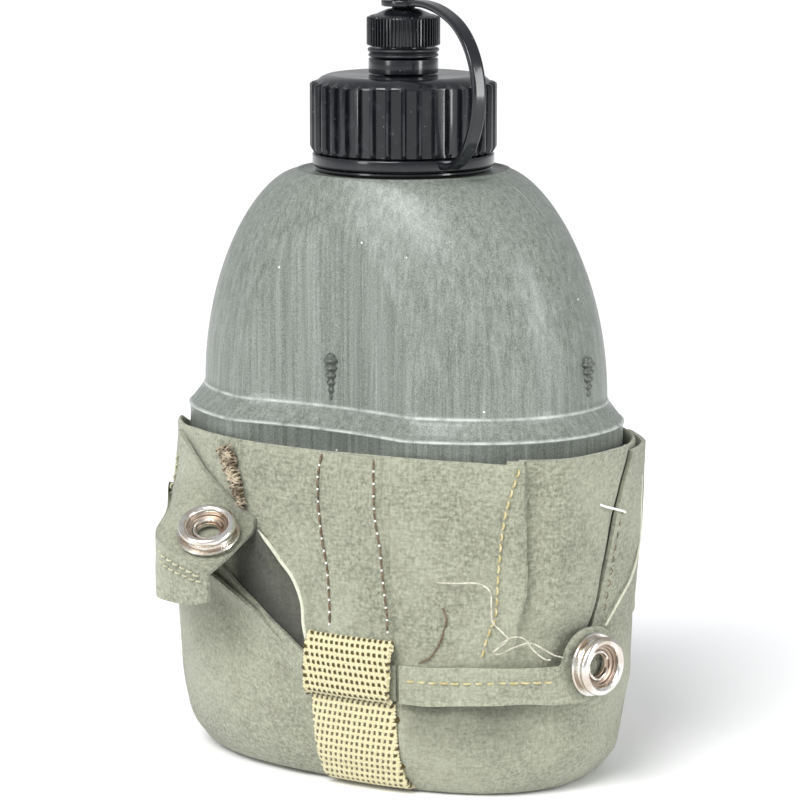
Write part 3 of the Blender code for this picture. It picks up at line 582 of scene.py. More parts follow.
# ---- Small knurled cap and its button ----
# The small cap is moulded in black with fine upright grip ribs and a cone that narrows to a neck. A
# round-headed button is pushed into the neck and keeps the strap's eye on it.
SPOUT_RIBS = 60
SPOUT_CAP_R = 0.0099
SPOUT_LEVELS = [
    (0.1956, 0.0065, 0.0), (0.1956, 0.0090, 0.0), (0.1957, 0.0092, 0.0094), (0.1960, 0.0093, SPOUT_CAP_R),
    (0.1995, 0.0093, SPOUT_CAP_R), (0.2030, 0.0093, SPOUT_CAP_R), (0.2033, 0.0092, 0.0097),
    (0.2035, 0.0090, 0.0092), (0.2039, 0.0083, 0.0), (0.2041, 0.0074, 0.0), (0.2048, 0.0058, 0.0),
    (0.2054, 0.0044, 0.0), (0.2056, 0.0032, 0.0), (0.2060, 0.0030, 0.0), (0.2082, 0.0030, 0.0),
    (0.2082, 0.0018, 0.0), (0.2040, 0.0018, 0.0), (0.2040, 0.0, 0.0),
]


def spout_cap_place(t, level):
    z, plain, crest = SPOUT_LEVELS[level]
    radius = plain + (max(crest, plain) - plain) * rib_height(t, SPOUT_RIBS, 0.30)
    return radius * math.cos(t), radius * math.sin(t), z


def spout_inside_place(t, level):
    z, radius = ((0.1956, 0.0065), (0.2014, 0.0065), (0.2014, 0.0))[level]
    return radius * math.cos(t), radius * math.sin(t), z


bm = unit_tube(SPOUT_RIBS * 8, len(SPOUT_LEVELS))
shape_tube(bm, spout_cap_place)
inside = unit_tube(SPOUT_RIBS * 8, 3)
shape_tube(inside, spout_inside_place)
merge(bm, inside)
bmesh.ops.remove_doubles(bm, verts=bm.verts, dist=0.000004)
bmesh.ops.recalc_face_normals(bm, faces=bm.faces)
piece("small_cap", bm, black, "spout_cap", "black_plastic", 32.0, "spout_cap")
button_low, button_high = 0.2085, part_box("cap_button")[1][2]
button = [(0.0, button_high)]
button += [(0.0040 * math.sin(math.radians(a)), button_high - 0.0016 * (1 - math.cos(math.radians(a))))
           for a in (15, 30, 45, 60, 75, 90)]
button += rounded([(0.0040, 0.2090), (0.0038, button_low), (0.0014, button_low), (0.0014, 0.2045)],
                  0.0002)[:-4]
button += [(0.0014, 0.2045), (0.0, 0.2045)]
piece("button", turned(48, button), black, "spout_cap", "black_plastic", 40.0, "cap_button")

# ---- Retaining strap ----
# Moulded in one from soft black plastic: an eye round the small cap's neck, a flat band that springs
# out in a C, and a ring that clips round the foot of the large cap. It stops the small cap being lost.
STRAP_PLANE = math.radians(-26.0)
STRAP_ROUTE = [(0.0046, 0.2070), (0.0120, 0.2073), (0.0210, 0.2059), (0.0300, 0.2023), (0.0365, 0.1962),
               (0.0398, 0.1885), (0.0396, 0.1808), (0.0368, 0.1736), (0.0322, 0.1682), (0.0275, 0.1657),
               (0.0238, 0.1653)]
BAND_HALF_WIDTH, BAND_HALF_THICK = 0.0019, 0.0010


def smooth_route(points, per_span):
    """A smooth line through a few points, as vectors of any length."""
    points = [Vector(p) for p in points]
    padded = [points[0] * 2 - points[1]] + points + [points[-1] * 2 - points[-2]]
    made = []
    for a, b, c, d in zip(padded, padded[1:], padded[2:], padded[3:]):
        for k in range(per_span):
            s = k / per_span
            made.append(0.5 * ((2 * b) + (c - a) * s + (2 * a - 5 * b + 4 * c - d) * s ** 2
                               + (3 * b - a - 3 * c + d) * s ** 3))
    made.append(points[-1])
    return made


def strap_band():
    line = smooth_route(STRAP_ROUTE, 7)
    outline = []
    for k in range(24):
        a = 2.0 * math.pi * k / 24
        outline.append((superellipse(a, BAND_HALF_THICK, BAND_HALF_WIDTH, 4.5)))
    bm = unit_tube(24, len(line))
    for v in bm.verts:
        k = round(math.atan2(v.co.y, v.co.x) / (2.0 * math.pi) * 24) % 24
        i = round(v.co.z)
        along = (line[min(i + 1, len(line) - 1)] - line[max(i - 1, 0)]).normalized()
        share = i / (len(line) - 1)
        widen = 1.0 + 0.55 * ease((share - 0.86) / 0.14) + 0.10 * ease((0.10 - share) / 0.10)
        thin, wide = outline[k]
        hollow = 0.00016 * (1.0 - abs(wide / BAND_HALF_WIDTH)) * (1 if thin > 0 else -1)
        r = line[i].x - along.y * (thin - hollow)
        z = line[i].y + along.x * (thin - hollow)
        v.co = (r, wide * widen, z)
    bmesh.ops.holes_fill(bm, edges=[e for e in bm.edges if e.is_boundary])
    bmesh.ops.rotate(bm, verts=bm.verts, matrix=Matrix.Rotation(STRAP_PLANE, 3, "Z"))
    bmesh.ops.recalc_face_normals(bm, faces=bm.faces)
    return bm


strap = strap_band()
merge(strap, hoop(96, 0.0246, 0.0230, 0.1669, 0.1637, 0.0005))
merge(strap, hoop(48, 0.0060, 0.0034, 0.2079, 0.2062, 0.0004))
strap_piece = piece("strap", strap, black_finish("black_strap", 0.17, 0.15), None, "black_plastic", 45.0,
                    "retaining_strap")
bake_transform(strap_piece)

# ---- Pouch: the bag ----
# Two panels and a base of olive cotton canvas, sewn inside out and turned, so that the cloth rounds
# softly into the base. It is cut to hug the bottle, and its rim is turned in once.
BAG_TABLE = [
    (0.0000, 0.0545, 0.0330), (0.0012, 0.0572, 0.0352), (0.0034, 0.0592, 0.0372), (0.0080, 0.0620, 0.0400),
    (0.0150, 0.0638, 0.0420), (0.0250, 0.0650, 0.0432), (0.0450, 0.0658, 0.0440), (0.0700, 0.0662, 0.0443),
    (0.0925, 0.0665, 0.0445),
]
BAG_SQUARENESS = 2.4
BAG_CLOTH = 0.0014
RIM_Z = 0.0918
WEBBING_X = 0.0140


def bag_size(z):
    """Half width and half depth of the bag's outer face, smoothly between the table's rows."""
    rows = BAG_TABLE
    z = max(rows[0][0], min(rows[-1][0], z))
    i = max(k for k in range(len(rows) - 1) if rows[k][0] <= z)
    low, high = rows[i], rows[i + 1]
    before, after = rows[max(i - 1, 0)], rows[min(i + 2, len(rows) - 1)]
    span = high[0] - low[0]
    s = (z - low[0]) / span
    out = []
    for k in (1, 2):
        rate_low = (high[k] - before[k]) / (high[0] - before[0]) * span
        rate_high = (after[k] - low[k]) / (after[0] - low[0]) * span
        out.append(low[k] * (1 + 2 * s) * (1 - s) ** 2 + rate_low * s * (1 - s) ** 2
                   + high[k] * s * s * (3 - 2 * s) + rate_high * s * s * (s - 1))
    return out


def bump_at(value, middle, reach):
    """1 at the middle, easing to 0 at a distance of reach."""
    return ease(1.0 - abs(value - middle) / reach)


def between(points, value):
    """Straight-line look-up in (value, result) pairs."""
    for (a, p), (b, q) in zip(points, points[1:]):
        if value <= b:
            return p + (q - p) * max(0.0, value - a) / (b - a)
    return points[-1][1]


DART_FOLD = [(0.030, 0.0545), (0.049, 0.0556), (0.058, 0.0573), (0.094, 0.0569)]
SLIT = [(0.040, -0.0100), (0.0465, -0.0087), (0.0606, -0.0044), (0.0752, 0.0), (0.0835, 0.0035),
        (0.0917, 0.0079)]
LAYER_EDGE = [(-0.0660, 0.0610), (-0.0550, 0.0600), (-0.0400, 0.0570), (-0.0289, 0.0533), (-0.0222, 0.0503),
              (-0.0145, 0.0454), (-0.0084, 0.0392), (-0.0031, 0.0333), (0.0011, 0.0287), (0.0060, 0.0230)]
TONGUE_EDGE = [(0.0330, 0.0050), (0.0367, 0.0029), (0.0391, 0.0010), (0.0442, -0.0002), (0.0509, -0.0008),
               (0.0568, -0.0034), (0.0612, -0.0077), (0.0648, -0.0111), (0.0686, -0.0153), (0.0920, -0.0230)]


def bag_fold(x, y, z):
    """How far the cloth of the bag stands off its plain shape: folds, the dart and the pulls."""
    out = 0.00045 * noise.noise(Vector((x, y, z * 0.55)) * 62.0)
    out += 0.00022 * noise.noise(Vector((x, y, z * 0.8)) * 190.0)
    if y < 0:
        fold_x = between(DART_FOLD, z)
        if z > 0.036:
            fade = ease((z - 0.036) / 0.014)
            if x < fold_x:
                out += 0.0015 * fade * ease(1.0 - (fold_x - x) / 0.0125)
            else:
                out -= 0.0005 * fade * ease(1.0 - (x - fold_x) / 0.0060)
        pocket = ease((x - 0.024) / 0.006) * ease((0.060 - x) / 0.014)
        out += 0.0020 * pocket * bump_at(z, 0.0150, 0.0100)
        out -= 0.0011 * pocket * bump_at(z, 0.0265, 0.0060)
        out += 0.0009 * ease((x - 0.026) / 0.010) * ease((0.056 - x) / 0.012) * bump_at(z, 0.0440, 0.0080)
        if x < 0.006:
            out -= 0.0007 * ease((between(LAYER_EDGE, x) - z) / 0.004)
        pull = x - (0.030 + (z - 0.0400) * 0.35)
        out -= 0.0005 * bump_at(pull, 0.0, 0.0045) * bump_at(z, 0.0560, 0.0200)
    side = ease((x - 0.0560) / 0.006)
    out += side * 0.0010 * math.sin(z * 210.0 + y * 60.0) * ease((0.036 - z) / 0.020) * ease(z / 0.008)
    return out


def bag_point(t, z, outward=0.0, folds=1.0):
    half_x, half_y = bag_size(z)
    x, y = superellipse(t, half_x, half_y, BAG_SQUARENESS)
    x2, y2 = superellipse(t, half_x + 0.001, half_y + 0.001, BAG_SQUARENESS)
    away = Vector((x2 - x, y2 - y, 0.0)) * 1000.0
    return Vector((x, y, z)) + away * (outward + folds * bag_fold(x, y, z))


def front_angle(x, z):
    """The angle on the front where the bag reaches x."""
    half_x = bag_size(z)[0]
    share = min(1.0, abs(x) / half_x) ** (BAG_SQUARENESS / 2.0)
    return -math.acos(share) if x >= 0 else math.acos(share) - math.pi


def side_angle(y, z):
    """The angle near the right end where the bag reaches y."""
    half_y = bag_size(z)[1]
    return math.copysign(math.asin(min(1.0, abs(y) / half_y) ** (BAG_SQUARENESS / 2.0)), y)


def on_front(x, z, outward=0.0):
    return bag_point(front_angle(x, z), z, outward)


def canvas_finish(name, base, dark, light, thread=0.00052):
    """Plain-woven cotton: threads from the piece's own weave map, slubs, fading and painted shade in hollows
    and gaps.
    """
    made, tree, shader = new_finish(name, base, 0.92, Sheen_Weight=0.25, Sheen_Roughness=0.6,
                                    Specular_IOR_Level=0.15)
    weave = add(tree, "UVMap", uv_map="weave")
    split = add(tree, "SeparateXYZ", {"Vector": (weave, 0)})
    wobble = speckle(tree, (weave, 0), 240.0, 2.0)
    threads = []
    for axis in (0, 1):
        sway = calc(tree, "MULTIPLY", (wobble, 0), 2.4)
        turn = calc(tree, "MULTIPLY", (split, axis), 2.0 * math.pi / thread)
        phase = calc(tree, "ADD", (turn, 0), (sway, 0))
        threads.append(calc(tree, "SINE", (phase, 0)))
    crossing = calc(tree, "MULTIPLY", (threads[0], 0), (threads[1], 0))
    slub_map = add(tree, "Mapping", {"Vector": (weave, 0), "Scale": (1.0, 0.22, 1.0)})
    slubs = speckle(tree, (slub_map, 0), 1500.0, 4.0, 0.7)
    cross_map = add(tree, "Mapping", {"Vector": (weave, 0), "Scale": (0.22, 1.0, 1.0)})
    cross_slubs = speckle(tree, (cross_map, 0), 1300.0, 4.0, 0.7)
    place = add(tree, "TexCoord")
    broad = speckle(tree, (place, "Object"), 34.0, 5.0, 0.6)
    mottle = speckle(tree, (place, "Object"), 1100.0, 4.0, 0.75)
    both = mix(tree, 0.5, (slubs, 0), (cross_slubs, 0))
    grain = mix(tree, 0.5, (both, 2), (mottle, 0))
    tone = mix(tree, (ramp(tree, (grain, 2), [(0.40, 0.0), (0.60, 1.0)]), 0), dark, light)
    weft = stretch(tree, (crossing, 0), (-1.0, 1.0), (0.0, 0.30))
    woven = mix(tree, (weft, 0), (tone, 2), tuple(c * 0.72 for c in dark))
    faded = mix(tree, (ramp(tree, (broad, 0), [(0.38, 0.0), (0.70, 0.45)]), 0), (woven, 2),
                tuple(min(1.0, c * 1.12) for c in light))
    # painted shade: a per-corner attribute multiplies the cloth towards near black where shade falls in
    # hollows, under the strap and in the slit
    grime = add(tree, "Attribute", attribute_name="grime")
    painted_shade_mix = mix(tree, (grime, "Fac"), (faded, 2), (0.045, 0.045, 0.040), "MULTIPLY")
    tree.links.new(painted_shade_mix.outputs[2], shader.inputs["Base Color"])
    relief = calc(tree, "MULTIPLY", (crossing, 0), 0.35)
    height = calc(tree, "ADD", (relief, 0), (both, 2))
    bump = add(tree, "Bump", {"Height": (height, 0), "Strength": 0.55, "Distance": 0.00035})
    tree.links.new(bump.outputs[0], shader.inputs["Normal"])
    return made


canvas = canvas_finish("olive_canvas", (0.28, 0.29, 0.21), (0.115, 0.121, 0.084), (0.415, 0.427, 0.322))


def weave_map(bm, lookup):
    """Gives each corner its place in the cloth, in metres."""
    layer = bm.loops.layers.uv.get("weave") or bm.loops.layers.uv.new("weave")
    for face in bm.faces:
        for loop in face.loops:
            loop[layer].uv = lookup(loop.vert)


def cloth_patch(name, place, flat, steps, thickness, finish, body, slot, *nodes, turned_in=0.0):
    """A piece of cloth: a grid laid out by place(u, v), given its weave map and its thickness."""
    bm = bmesh.new()
    bm.loops.layers.uv.new("weave")
    bmesh.ops.create_grid(bm, x_segments=steps[0], y_segments=steps[1], size=0.5)
    shares = {v: (v.co.x + 0.5, v.co.y + 0.5) for v in bm.verts}
    weave_map(bm, lambda v: (shares[v][0] * flat[0], shares[v][1] * flat[1]))
    for v, (a, b) in shares.items():
        v.co = place(a, b)
    bmesh.ops.recalc_face_normals(bm, faces=bm.faces)
    facing = sum(f.normal.xy.dot(f.calc_center_median().xy) for f in bm.faces)
    if facing < 0:
        bmesh.ops.reverse_faces(bm, faces=bm.faces)
    bmesh.ops.solidify(bm, geom=list(bm.faces), thickness=thickness)
    made = piece(name, bm, finish, body, slot, 50.0, *nodes)
    return made


def bag_levels():
    path = [("base", 0.0, 0.0), ("base", 0.15, 0.0), ("base", 0.35, 0.0), ("base", 0.55, 0.0),
            ("base", 0.75, 0.0), ("base", 0.9, 0.0), ("base", 0.97, 0.0)]
    path += [("out", 0.0034 * (1 - math.cos(math.radians(a))), 0.0) for a in range(0, 90, 12)]
    path += [("out", 0.0034 + (RIM_Z - 0.0014 - 0.0034) * i / 100, 0.0) for i in range(101)]
    path += [("out", RIM_Z - 0.0007, -0.00015), ("out", RIM_Z - 0.0002, -0.0004), ("out", RIM_Z, -0.0007),
             ("out", RIM_Z - 0.0002, -0.0010), ("out", RIM_Z - 0.0008, -BAG_CLOTH)]
    path += [("out", RIM_Z - 0.0008 - (RIM_Z - 0.0058) * i / 24, -BAG_CLOTH) for i in range(1, 25)]
    path += [("in", 0.97, 0.0), ("in", 0.8, 0.0), ("in", 0.5, 0.0), ("in", 0.0, 0.0)]
    return path


BAG = bag_levels()


def bag_place(t, level):
    kind, first, second = BAG[level]
    if kind == "out":
        wave = 0.0009 * noise.noise(Vector((math.cos(t) * 1.6, math.sin(t) * 1.6, 3.0)))
        dip = 0.0034 * ease((-math.cos(t) - 0.72) / 0.16) * ease((math.sin(t) + 0.42) / 0.25)
        lifted = first + (wave - dip) * ease((first - 0.070) / 0.020)
        return bag_point(t, lifted, second)
    half_x, half_y = bag_size(0.0 if kind == "base" else 0.004)
    x, y = superellipse(t, (half_x - 0.0014 * (kind == "in")) * first,
                        (half_y - 0.0014 * (kind == "in")) * first, BAG_SQUARENESS)
    channel = ease((0.0145 - abs(x - WEBBING_X)) / 0.0012)
    return Vector((x, y, 0.0017 * channel if kind == "base" else 0.0040))


bm = unit_tube(400, len(BAG))
layer = bm.loops.layers.uv.new("weave")
for face in bm.faces:
    angles = [math.atan2(loop.vert.co.y, loop.vert.co.x) for loop in face.loops]
    wrap = max(angles) - min(angles) > math.pi
    for loop, angle in zip(face.loops, angles):
        turn = angle + 2.0 * math.pi if wrap and angle < 0 else angle
        kind, first, second = BAG[round(loop.vert.co.z)]
        loop[layer].uv = (turn * 0.056, first if kind == "out" else first * 0.05)
painted_shade_layer = bm.verts.layers.float.new("grime")
shape_tube(bm, bag_place)
# painted shade on the bag: its strength per corner goes to the cloth's grime multiply
for v in bm.verts:
    x, y, z = v.co
    shade = 0.0
    # painted shade in the recess between the lower left layer and the tongue, darkest along the layer's edge
    if y < 0 and 0.026 < z < 0.072:
        edge_x = between(TONGUE_EDGE, z)
        inside = ease((edge_x - x) / 0.0015) * ease((z - between(LAYER_EDGE, x) + 0.002) / 0.002)
        depth = 0.82 + 0.17 * ease(1.0 - (z - between(LAYER_EDGE, x)) / 0.014)
        depth = max(depth, 0.96 * ease(1.0 - abs(edge_x - x - 0.0090) / 0.0030) * ease((z - 0.052) / 0.006))
        shade = max(shade, depth * inside * ease((0.0725 - z) / 0.006) * ease((x + 0.030) / 0.006))
    # painted shadow under the closure strap, over the lower right pocket
    if y < 0:
        pocket = ease((x - 0.026) / 0.006) * ease((0.062 - x) / 0.010)
        shade = max(shade, 0.42 * pocket * ease((z - 0.010) / 0.012) * ease((0.0300 - z) / 0.002))
    # painted shade in the slit's gap beside the right flap
    if x > 0.060 and z > 0.044:
        gap = (y - between(SLIT, z)) / 0.0011
        shade = max(shade, 0.9 * ease(1.6 - abs(gap - 0.6)))
    v[painted_shade_layer] = shade
bag = piece("bag", bm, canvas, "pouch", "canvas", 0.0, "pouch_front_panel", "pouch_back_panel",
            "pouch_base_panel")

# ---- Pouch: lower left layer, centre tongue and centre strip ----
# The front is built up of layers. The lower left one is cut on the slant and its top edge is turned
# under. A tongue of the upper cloth hangs over the hollow between them with a pale piped edge, and a
# strip down the middle is sewn along both sides.


def lower_left_place(u, v):
    x_edge = 0.0060
    start, end = front_angle(x_edge, 0.03), -math.pi - 0.06
    t = start + (end - start) * u
    plain = bag_point(t, 0.04, 0.0, 0.0)
    top = between(LAYER_EDGE, plain.x) if t > -math.pi + 0.05 else 0.0610
    z = 0.0016 + (top - 0.0016) * v
    lip = ease((z - top + 0.0065) / 0.0065)
    off = 0.0004 + 0.0012 * ease(u / 0.16) + 0.0018 * lip * ease((0.9 - u) / 0.3) * ease((u - 0.05) / 0.12)
    puff = 0.0012 * bump_at(u, 0.33, 0.30) * bump_at(v, 0.45, 0.5)
    puff += 0.0006 * math.sin(u * 16.0 + v * 4.0) * bump_at(v, 0.8, 0.35)
    return bag_point(t, z, off + puff * 0.7 * ease((u - 0.04) / 0.15))


cloth_patch("lower_left_layer", lower_left_place, (0.108, 0.056), (150, 76), 0.0012, canvas, "pouch",
            "canvas")


def tongue_place(u, v):
    z = 0.0365 + (0.0895 - 0.0365) * v
    left = between(TONGUE_EDGE, z)
    x = left + (0.0100 - left) * u
    near = ease(1.0 - u / 0.35)
    low = ease((0.0725 - z) / 0.010)
    off = -0.0003 + (0.0010 + 0.0012 * near) * low
    return on_front(x, z, off)


cloth_patch("centre_tongue", tongue_place, (0.026, 0.053), (40, 70), 0.0009, canvas, "pouch", "canvas")


def strip_place(u, v):
    z = 0.0432 + (RIM_Z + 0.0004 - 0.0432) * v
    middle = between([(0.0440, 0.0162), (0.0605, 0.0154), (0.0780, 0.0128), (0.0920, 0.0137)], z)
    half = 0.0100
    x = middle - half + 2 * half * u
    off = 0.0011 - 0.0009 * ease((abs(u - 0.5) - 0.40) / 0.10)
    return on_front(x, z, off + 0.0004 - 0.0011 * ease((abs(u - 0.5) - 0.46) / 0.04))


cloth_patch("centre_strip_cloth", strip_place, (0.020, 0.050), (32, 70), 0.0008, canvas, "pouch", "canvas",
            "centre_strip")

# ---- Pouch: right front layer ----
# Right of the dart the front panel laps over the side and ends in a turned edge at the slit.


def right_layer_place(u, v):
    z = 0.0400 + (RIM_Z + 0.0006 - 0.0400) * v
    start, end = front_angle(0.0535, z), side_angle(between(SLIT, z), z)
    t = start + (end - start) * u
    off = -0.0006 + 0.0022 * ease(u / 0.5) * ease(v / 0.22)
    off -= 0.0006 * ease((u - 0.95) / 0.05)
    return bag_point(t, z, off)


cloth_patch("right_front_layer", right_layer_place, (0.038, 0.052), (64, 76), 0.0012, canvas, "pouch",
            "canvas")

# ---- Flaps ----
# The left flap is turned out and down. It juts out as a shelf that carries its snap, then hangs to a
# stitched hem. The right flap lies behind the slit and wraps round the end of the pouch.
SHELF_SLOPE, SHELF_EASE = 0.442, 0.0012
HEM_Z = 0.0495
# plan point, shelf reach, shelf middle z, hem z, top z, how much of a shelf it is
LEFT_STATIONS = [
    ((-0.0178, -0.0452), 0.0168, 0.0636, HEM_Z + 0.0020, 0.0712, 1.0),
    ((-0.0250, -0.0445), 0.0168, 0.0662, HEM_Z, 0.0752, 1.0),
    ((-0.0350, -0.0424), 0.0160, 0.0702, HEM_Z, 0.0810, 1.0),
    ((-0.0440, -0.0388), 0.0080, 0.0735, HEM_Z, 0.0870, 0.4),
    ((-0.0520, -0.0334), 0.0035, 0.0764, HEM_Z, 0.0905, 0.0),
]


def station_line(index):
    (x, y), reach, shelf_z, low_z, top_z, shelf = LEFT_STATIONS[index]
    before = LEFT_STATIONS[max(index - 1, 0)][0]
    after = LEFT_STATIONS[min(index + 1, len(LEFT_STATIONS) - 1)][0]
    outward = Vector((before[1] - after[1], after[0] - before[0])).normalized()
    drop = SHELF_SLOPE * reach / 2
    root_z, out_end = shelf_z + drop + 2 * SHELF_EASE, reach + SHELF_EASE
    path = [(0.0, top_z), (0.0, (top_z + root_z) / 2), (0.0, root_z), (SHELF_EASE, shelf_z + drop),
            (reach / 2, shelf_z), (reach, shelf_z - drop), (out_end, shelf_z - drop - SHELF_EASE),
            (out_end, (shelf_z + low_z) / 2 - 0.002), (out_end - 0.0006, low_z)]
    plain = [((top_z - z) / (top_z - low_z) * out_end, z) for out, z in path]
    path = [(a * shelf + b * (1.0 - shelf), z) for (a, z), (b, _) in zip(path, plain)]
    return [Vector((x + outward.x * out, y + outward.y * out, z)) for out, z in path]


LEFT_LINES = [smooth_route(station_line(i), 6) for i in range(len(LEFT_STATIONS))]
LEFT_ROWS = [smooth_route([line[k] for line in LEFT_LINES], 10) for k in range(len(LEFT_LINES[0]))]


def left_flap_place(u, v):
    row = LEFT_ROWS[round((1.0 - v) * (len(LEFT_ROWS) - 1))]
    here = row[round(u * (len(row) - 1))].copy()
    here.x += 0.0004 * noise.noise(here * 140.0)
    here.y += 0.0006 * noise.noise(here * 90.0 + Vector((3, 1, 2)))
    return here


left_steps = (len(LEFT_ROWS[0]) - 1, len(LEFT_ROWS) - 1)
cloth_patch("left_flap_cloth", left_flap_place, (0.041, 0.058), left_steps, 0.0012, canvas, "left_flap",
            "canvas", "left_flap")


def right_flap_place(u, v):
    z = 0.0450 + (RIM_Z - 0.0010 - 0.0450) * v
    start = side_angle(between(SLIT, z) + 0.0012, z)
    end = math.radians(46.0)
    t = start + (end - start) * u
    low = 0.012 * ease((math.degrees(t) - 20.0) / 26.0) * (1.0 - v)
    return bag_point(t, z + low, 0.0007 + 0.0013 * ease(v / 0.55) + 0.0005 * bump_at(u, 0.4, 0.4) * v)


cloth_patch("right_flap_cloth", right_flap_place, (0.040, 0.046), (60, 60), 0.0012, canvas, "right_flap",
            "canvas", "right_flap")

# ---- Closure strap ----
# A narrow turned band of the same canvas. One run is sewn down under the left flap and goes into the
# keeper; the other comes out of it, lies across the front and ends in the round tab of the right snap.
KEEPER_RIGHT_X = 0.0265
TAB_T = math.radians(-11.0)
TAB_Z = 0.0370


def fixed_run_place(u, v):
    x = -0.0330 + (KEEPER_RIGHT_X + 0.0330) * u
    slope = max(0.0, min(1.0, (-0.0005 - x) / 0.030))
    z = 0.0272 + 0.0180 * slope + (0.0096 + 0.0020 * slope) * v
    return on_front(x, z, 0.0012)


cloth_patch("strap_sewn_run", fixed_run_place, (0.064, 0.011), (60, 12), 0.0010, canvas, "pouch", "canvas",
            "strap_fixed_run")


def free_run_line(u):
    """The angle, the two edges' heights and the stand-off along the free run."""
    start = front_angle(KEEPER_RIGHT_X + 0.0009, 0.0320)
    end = TAB_T + math.radians(10.5)
    t = start + (end - start) * u
    reach = (t - TAB_T) / math.radians(11.5)
    half = 0.0100 * math.sqrt(max(0.0, 1.0 - reach * reach)) if abs(reach) < 1.0 else 0.0
    low = 0.0267 + 0.0014 * ease((u - 0.10) / 0.35) - 0.0010 * ease((u - 0.5) / 0.3)
    high = 0.0366 + 0.0012 * ease(u / 0.3)
    if reach > 0.0:
        low, high = TAB_Z - half, TAB_Z + half
    else:
        low, high = min(low, TAB_Z - half), max(high, TAB_Z + half)
    return t, low, max(high, low + 0.0006), 0.0011 + 0.0028 * ease(u / 0.75)


def free_run_place(u, v):
    t, low, high, off = free_run_line(u)
    z = low + (high - low) * v
    lip = 0.0006 * ease((0.14 - v) / 0.14) - 0.0004 * ease((v - 0.93) / 0.07)
    ripple = 0.0005 * math.sin(u * 21.0) * (1.0 - v) * ease((0.7 - u) / 0.2)
    return bag_point(t, z, off + lip + ripple, 0.4)


free_run = cloth_patch("strap_free_run_cloth", free_run_place, (0.052, 0.012), (110, 18), 0.0012, canvas,
                       None, "canvas", "strap_free_run")
bend_start = tuple(on_front(KEEPER_RIGHT_X, 0.032))
bend_end = tuple(on_front(KEEPER_RIGHT_X + 0.0060, 0.032))
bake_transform(free_run)

# ---- Webbing keeper and base webbing ----
# Straw-coloured cotton webbing, an inch wide, woven of fat cords. A short piece makes the keeper for
# the closure strap. A long one runs from under it down the front, beneath the base and up the back,
# and a third makes the belt loop.
CORD_ACROSS, CORD_ALONG = 0.00160, 0.00100


def webbing_finish():
    made, tree, shader = new_finish("straw_webbing", (0.62, 0.56, 0.30), 0.85, Sheen_Weight=0.3,
                                    Specular_IOR_Level=0.2)
    weave = add(tree, "UVMap", uv_map="weave")
    split = add(tree, "SeparateXYZ", {"Vector": (weave, 0)})
    wobble = speckle(tree, (weave, 0), 420.0, 2.0)
    sway = stretch(tree, (wobble, 0), (0.0, 1.0), (-0.9, 0.9))
    rows = calc(tree, "MULTIPLY", (split, 1), math.pi / CORD_ALONG)
    row_wave = calc(tree, "SINE", (calc(tree, "ADD", (rows, 0), (sway, 0)), 0))
    columns = calc(tree, "MULTIPLY", (split, 0), 2.0 * math.pi / CORD_ACROSS)
    slant = calc(tree, "MULTIPLY", (split, 1), 900.0)
    leaning = calc(tree, "ADD", (columns, 0), (slant, 0))
    swayed = calc(tree, "ADD", (leaning, 0), (sway, 0))
    column_wave = calc(tree, "SINE", (swayed, 0))
    low_row = stretch(tree, (row_wave, 0), (-0.45, 0.35), (0.0, 1.0))
    low_column = stretch(tree, (column_wave, 0), (-0.35, 0.50), (0.0, 1.0))
    gaps = calc(tree, "MULTIPLY", (low_row, 0), (low_column, 0))
    height = calc(tree, "SUBTRACT", 1.0, (gaps, 0))
    fuzz = speckle(tree, (weave, 0), 2600.0, 3.0, 0.7)
    fibre = ramp(tree, (fuzz, 0), [(0.35, 0.0), (0.65, 1.0)])
    base = mix(tree, (fibre, 0), (0.52, 0.45, 0.21), (0.82, 0.78, 0.54))
    # painted shade: the gaps between the cords are coloured near black brown where shade falls in the weave
    shaded_gaps = mix(tree, (gaps, 0), (base, 2), (0.075, 0.052, 0.010))
    tree.links.new(shaded_gaps.outputs[2], shader.inputs["Base Color"])
    lifted = calc(tree, "ADD", (fuzz, 0), (height, 0))
    bump = add(tree, "Bump", {"Height": (lifted, 0), "Strength": 0.8, "Distance": 0.0005})
    tree.links.new(bump.outputs[0], shader.inputs["Normal"])
    return made


straw = webbing_finish()


def cord_height(across, along):
    """The relief of the weave at a place in the webbing."""
    row = math.sin(math.pi * along / CORD_ALONG)
    column = math.sin(2.0 * math.pi * across / CORD_ACROSS + 900.0 * along)
    return 0.00012 - 0.00034 * max(0.0, row) * max(0.0, column)


def webbing_strip(name, line, steps, thickness, body, *nodes, edge=0.0004, finish=straw, slant=0.0):
    """Webbing an inch wide along a line of (y, z) points; its x comes from the webbing's middle."""
    lengths = [0.0]
    for a, b in zip(line, line[1:]):
        lengths.append(lengths[-1] + (b - a).length)
    total = lengths[-1]
    half = 0.0125

    def place(u, v):
        far = v * total
        i = max(k for k in range(len(lengths) - 1) if lengths[k] <= far + 1e-9)
        s = (far - lengths[i]) / (lengths[i + 1] - lengths[i])
        here, ahead = line[i].lerp(line[i + 1], s), (line[i + 1] - line[i]).normalized()
        away = Vector((ahead.y, -ahead.x))
        across = (u - 0.5) * 2.0 * half
        lift = cord_height(across, far) - 0.0005 * ease((abs(u - 0.5) - 0.46) / 0.04)
        scallop = edge * math.sin(far / CORD_ALONG * math.pi) * ease((abs(u - 0.5) - 0.44) / 0.06)
        x = WEBBING_X + across + math.copysign(scallop, across) + slant * (v - 0.5)
        return bend_to_bag(x, here.x + away.x * lift, here.y + away.y * lift)

    return cloth_patch(name, place, (0.025, total), steps, thickness, finish, body, "webbing", *nodes,
                       turned_in=0.012)


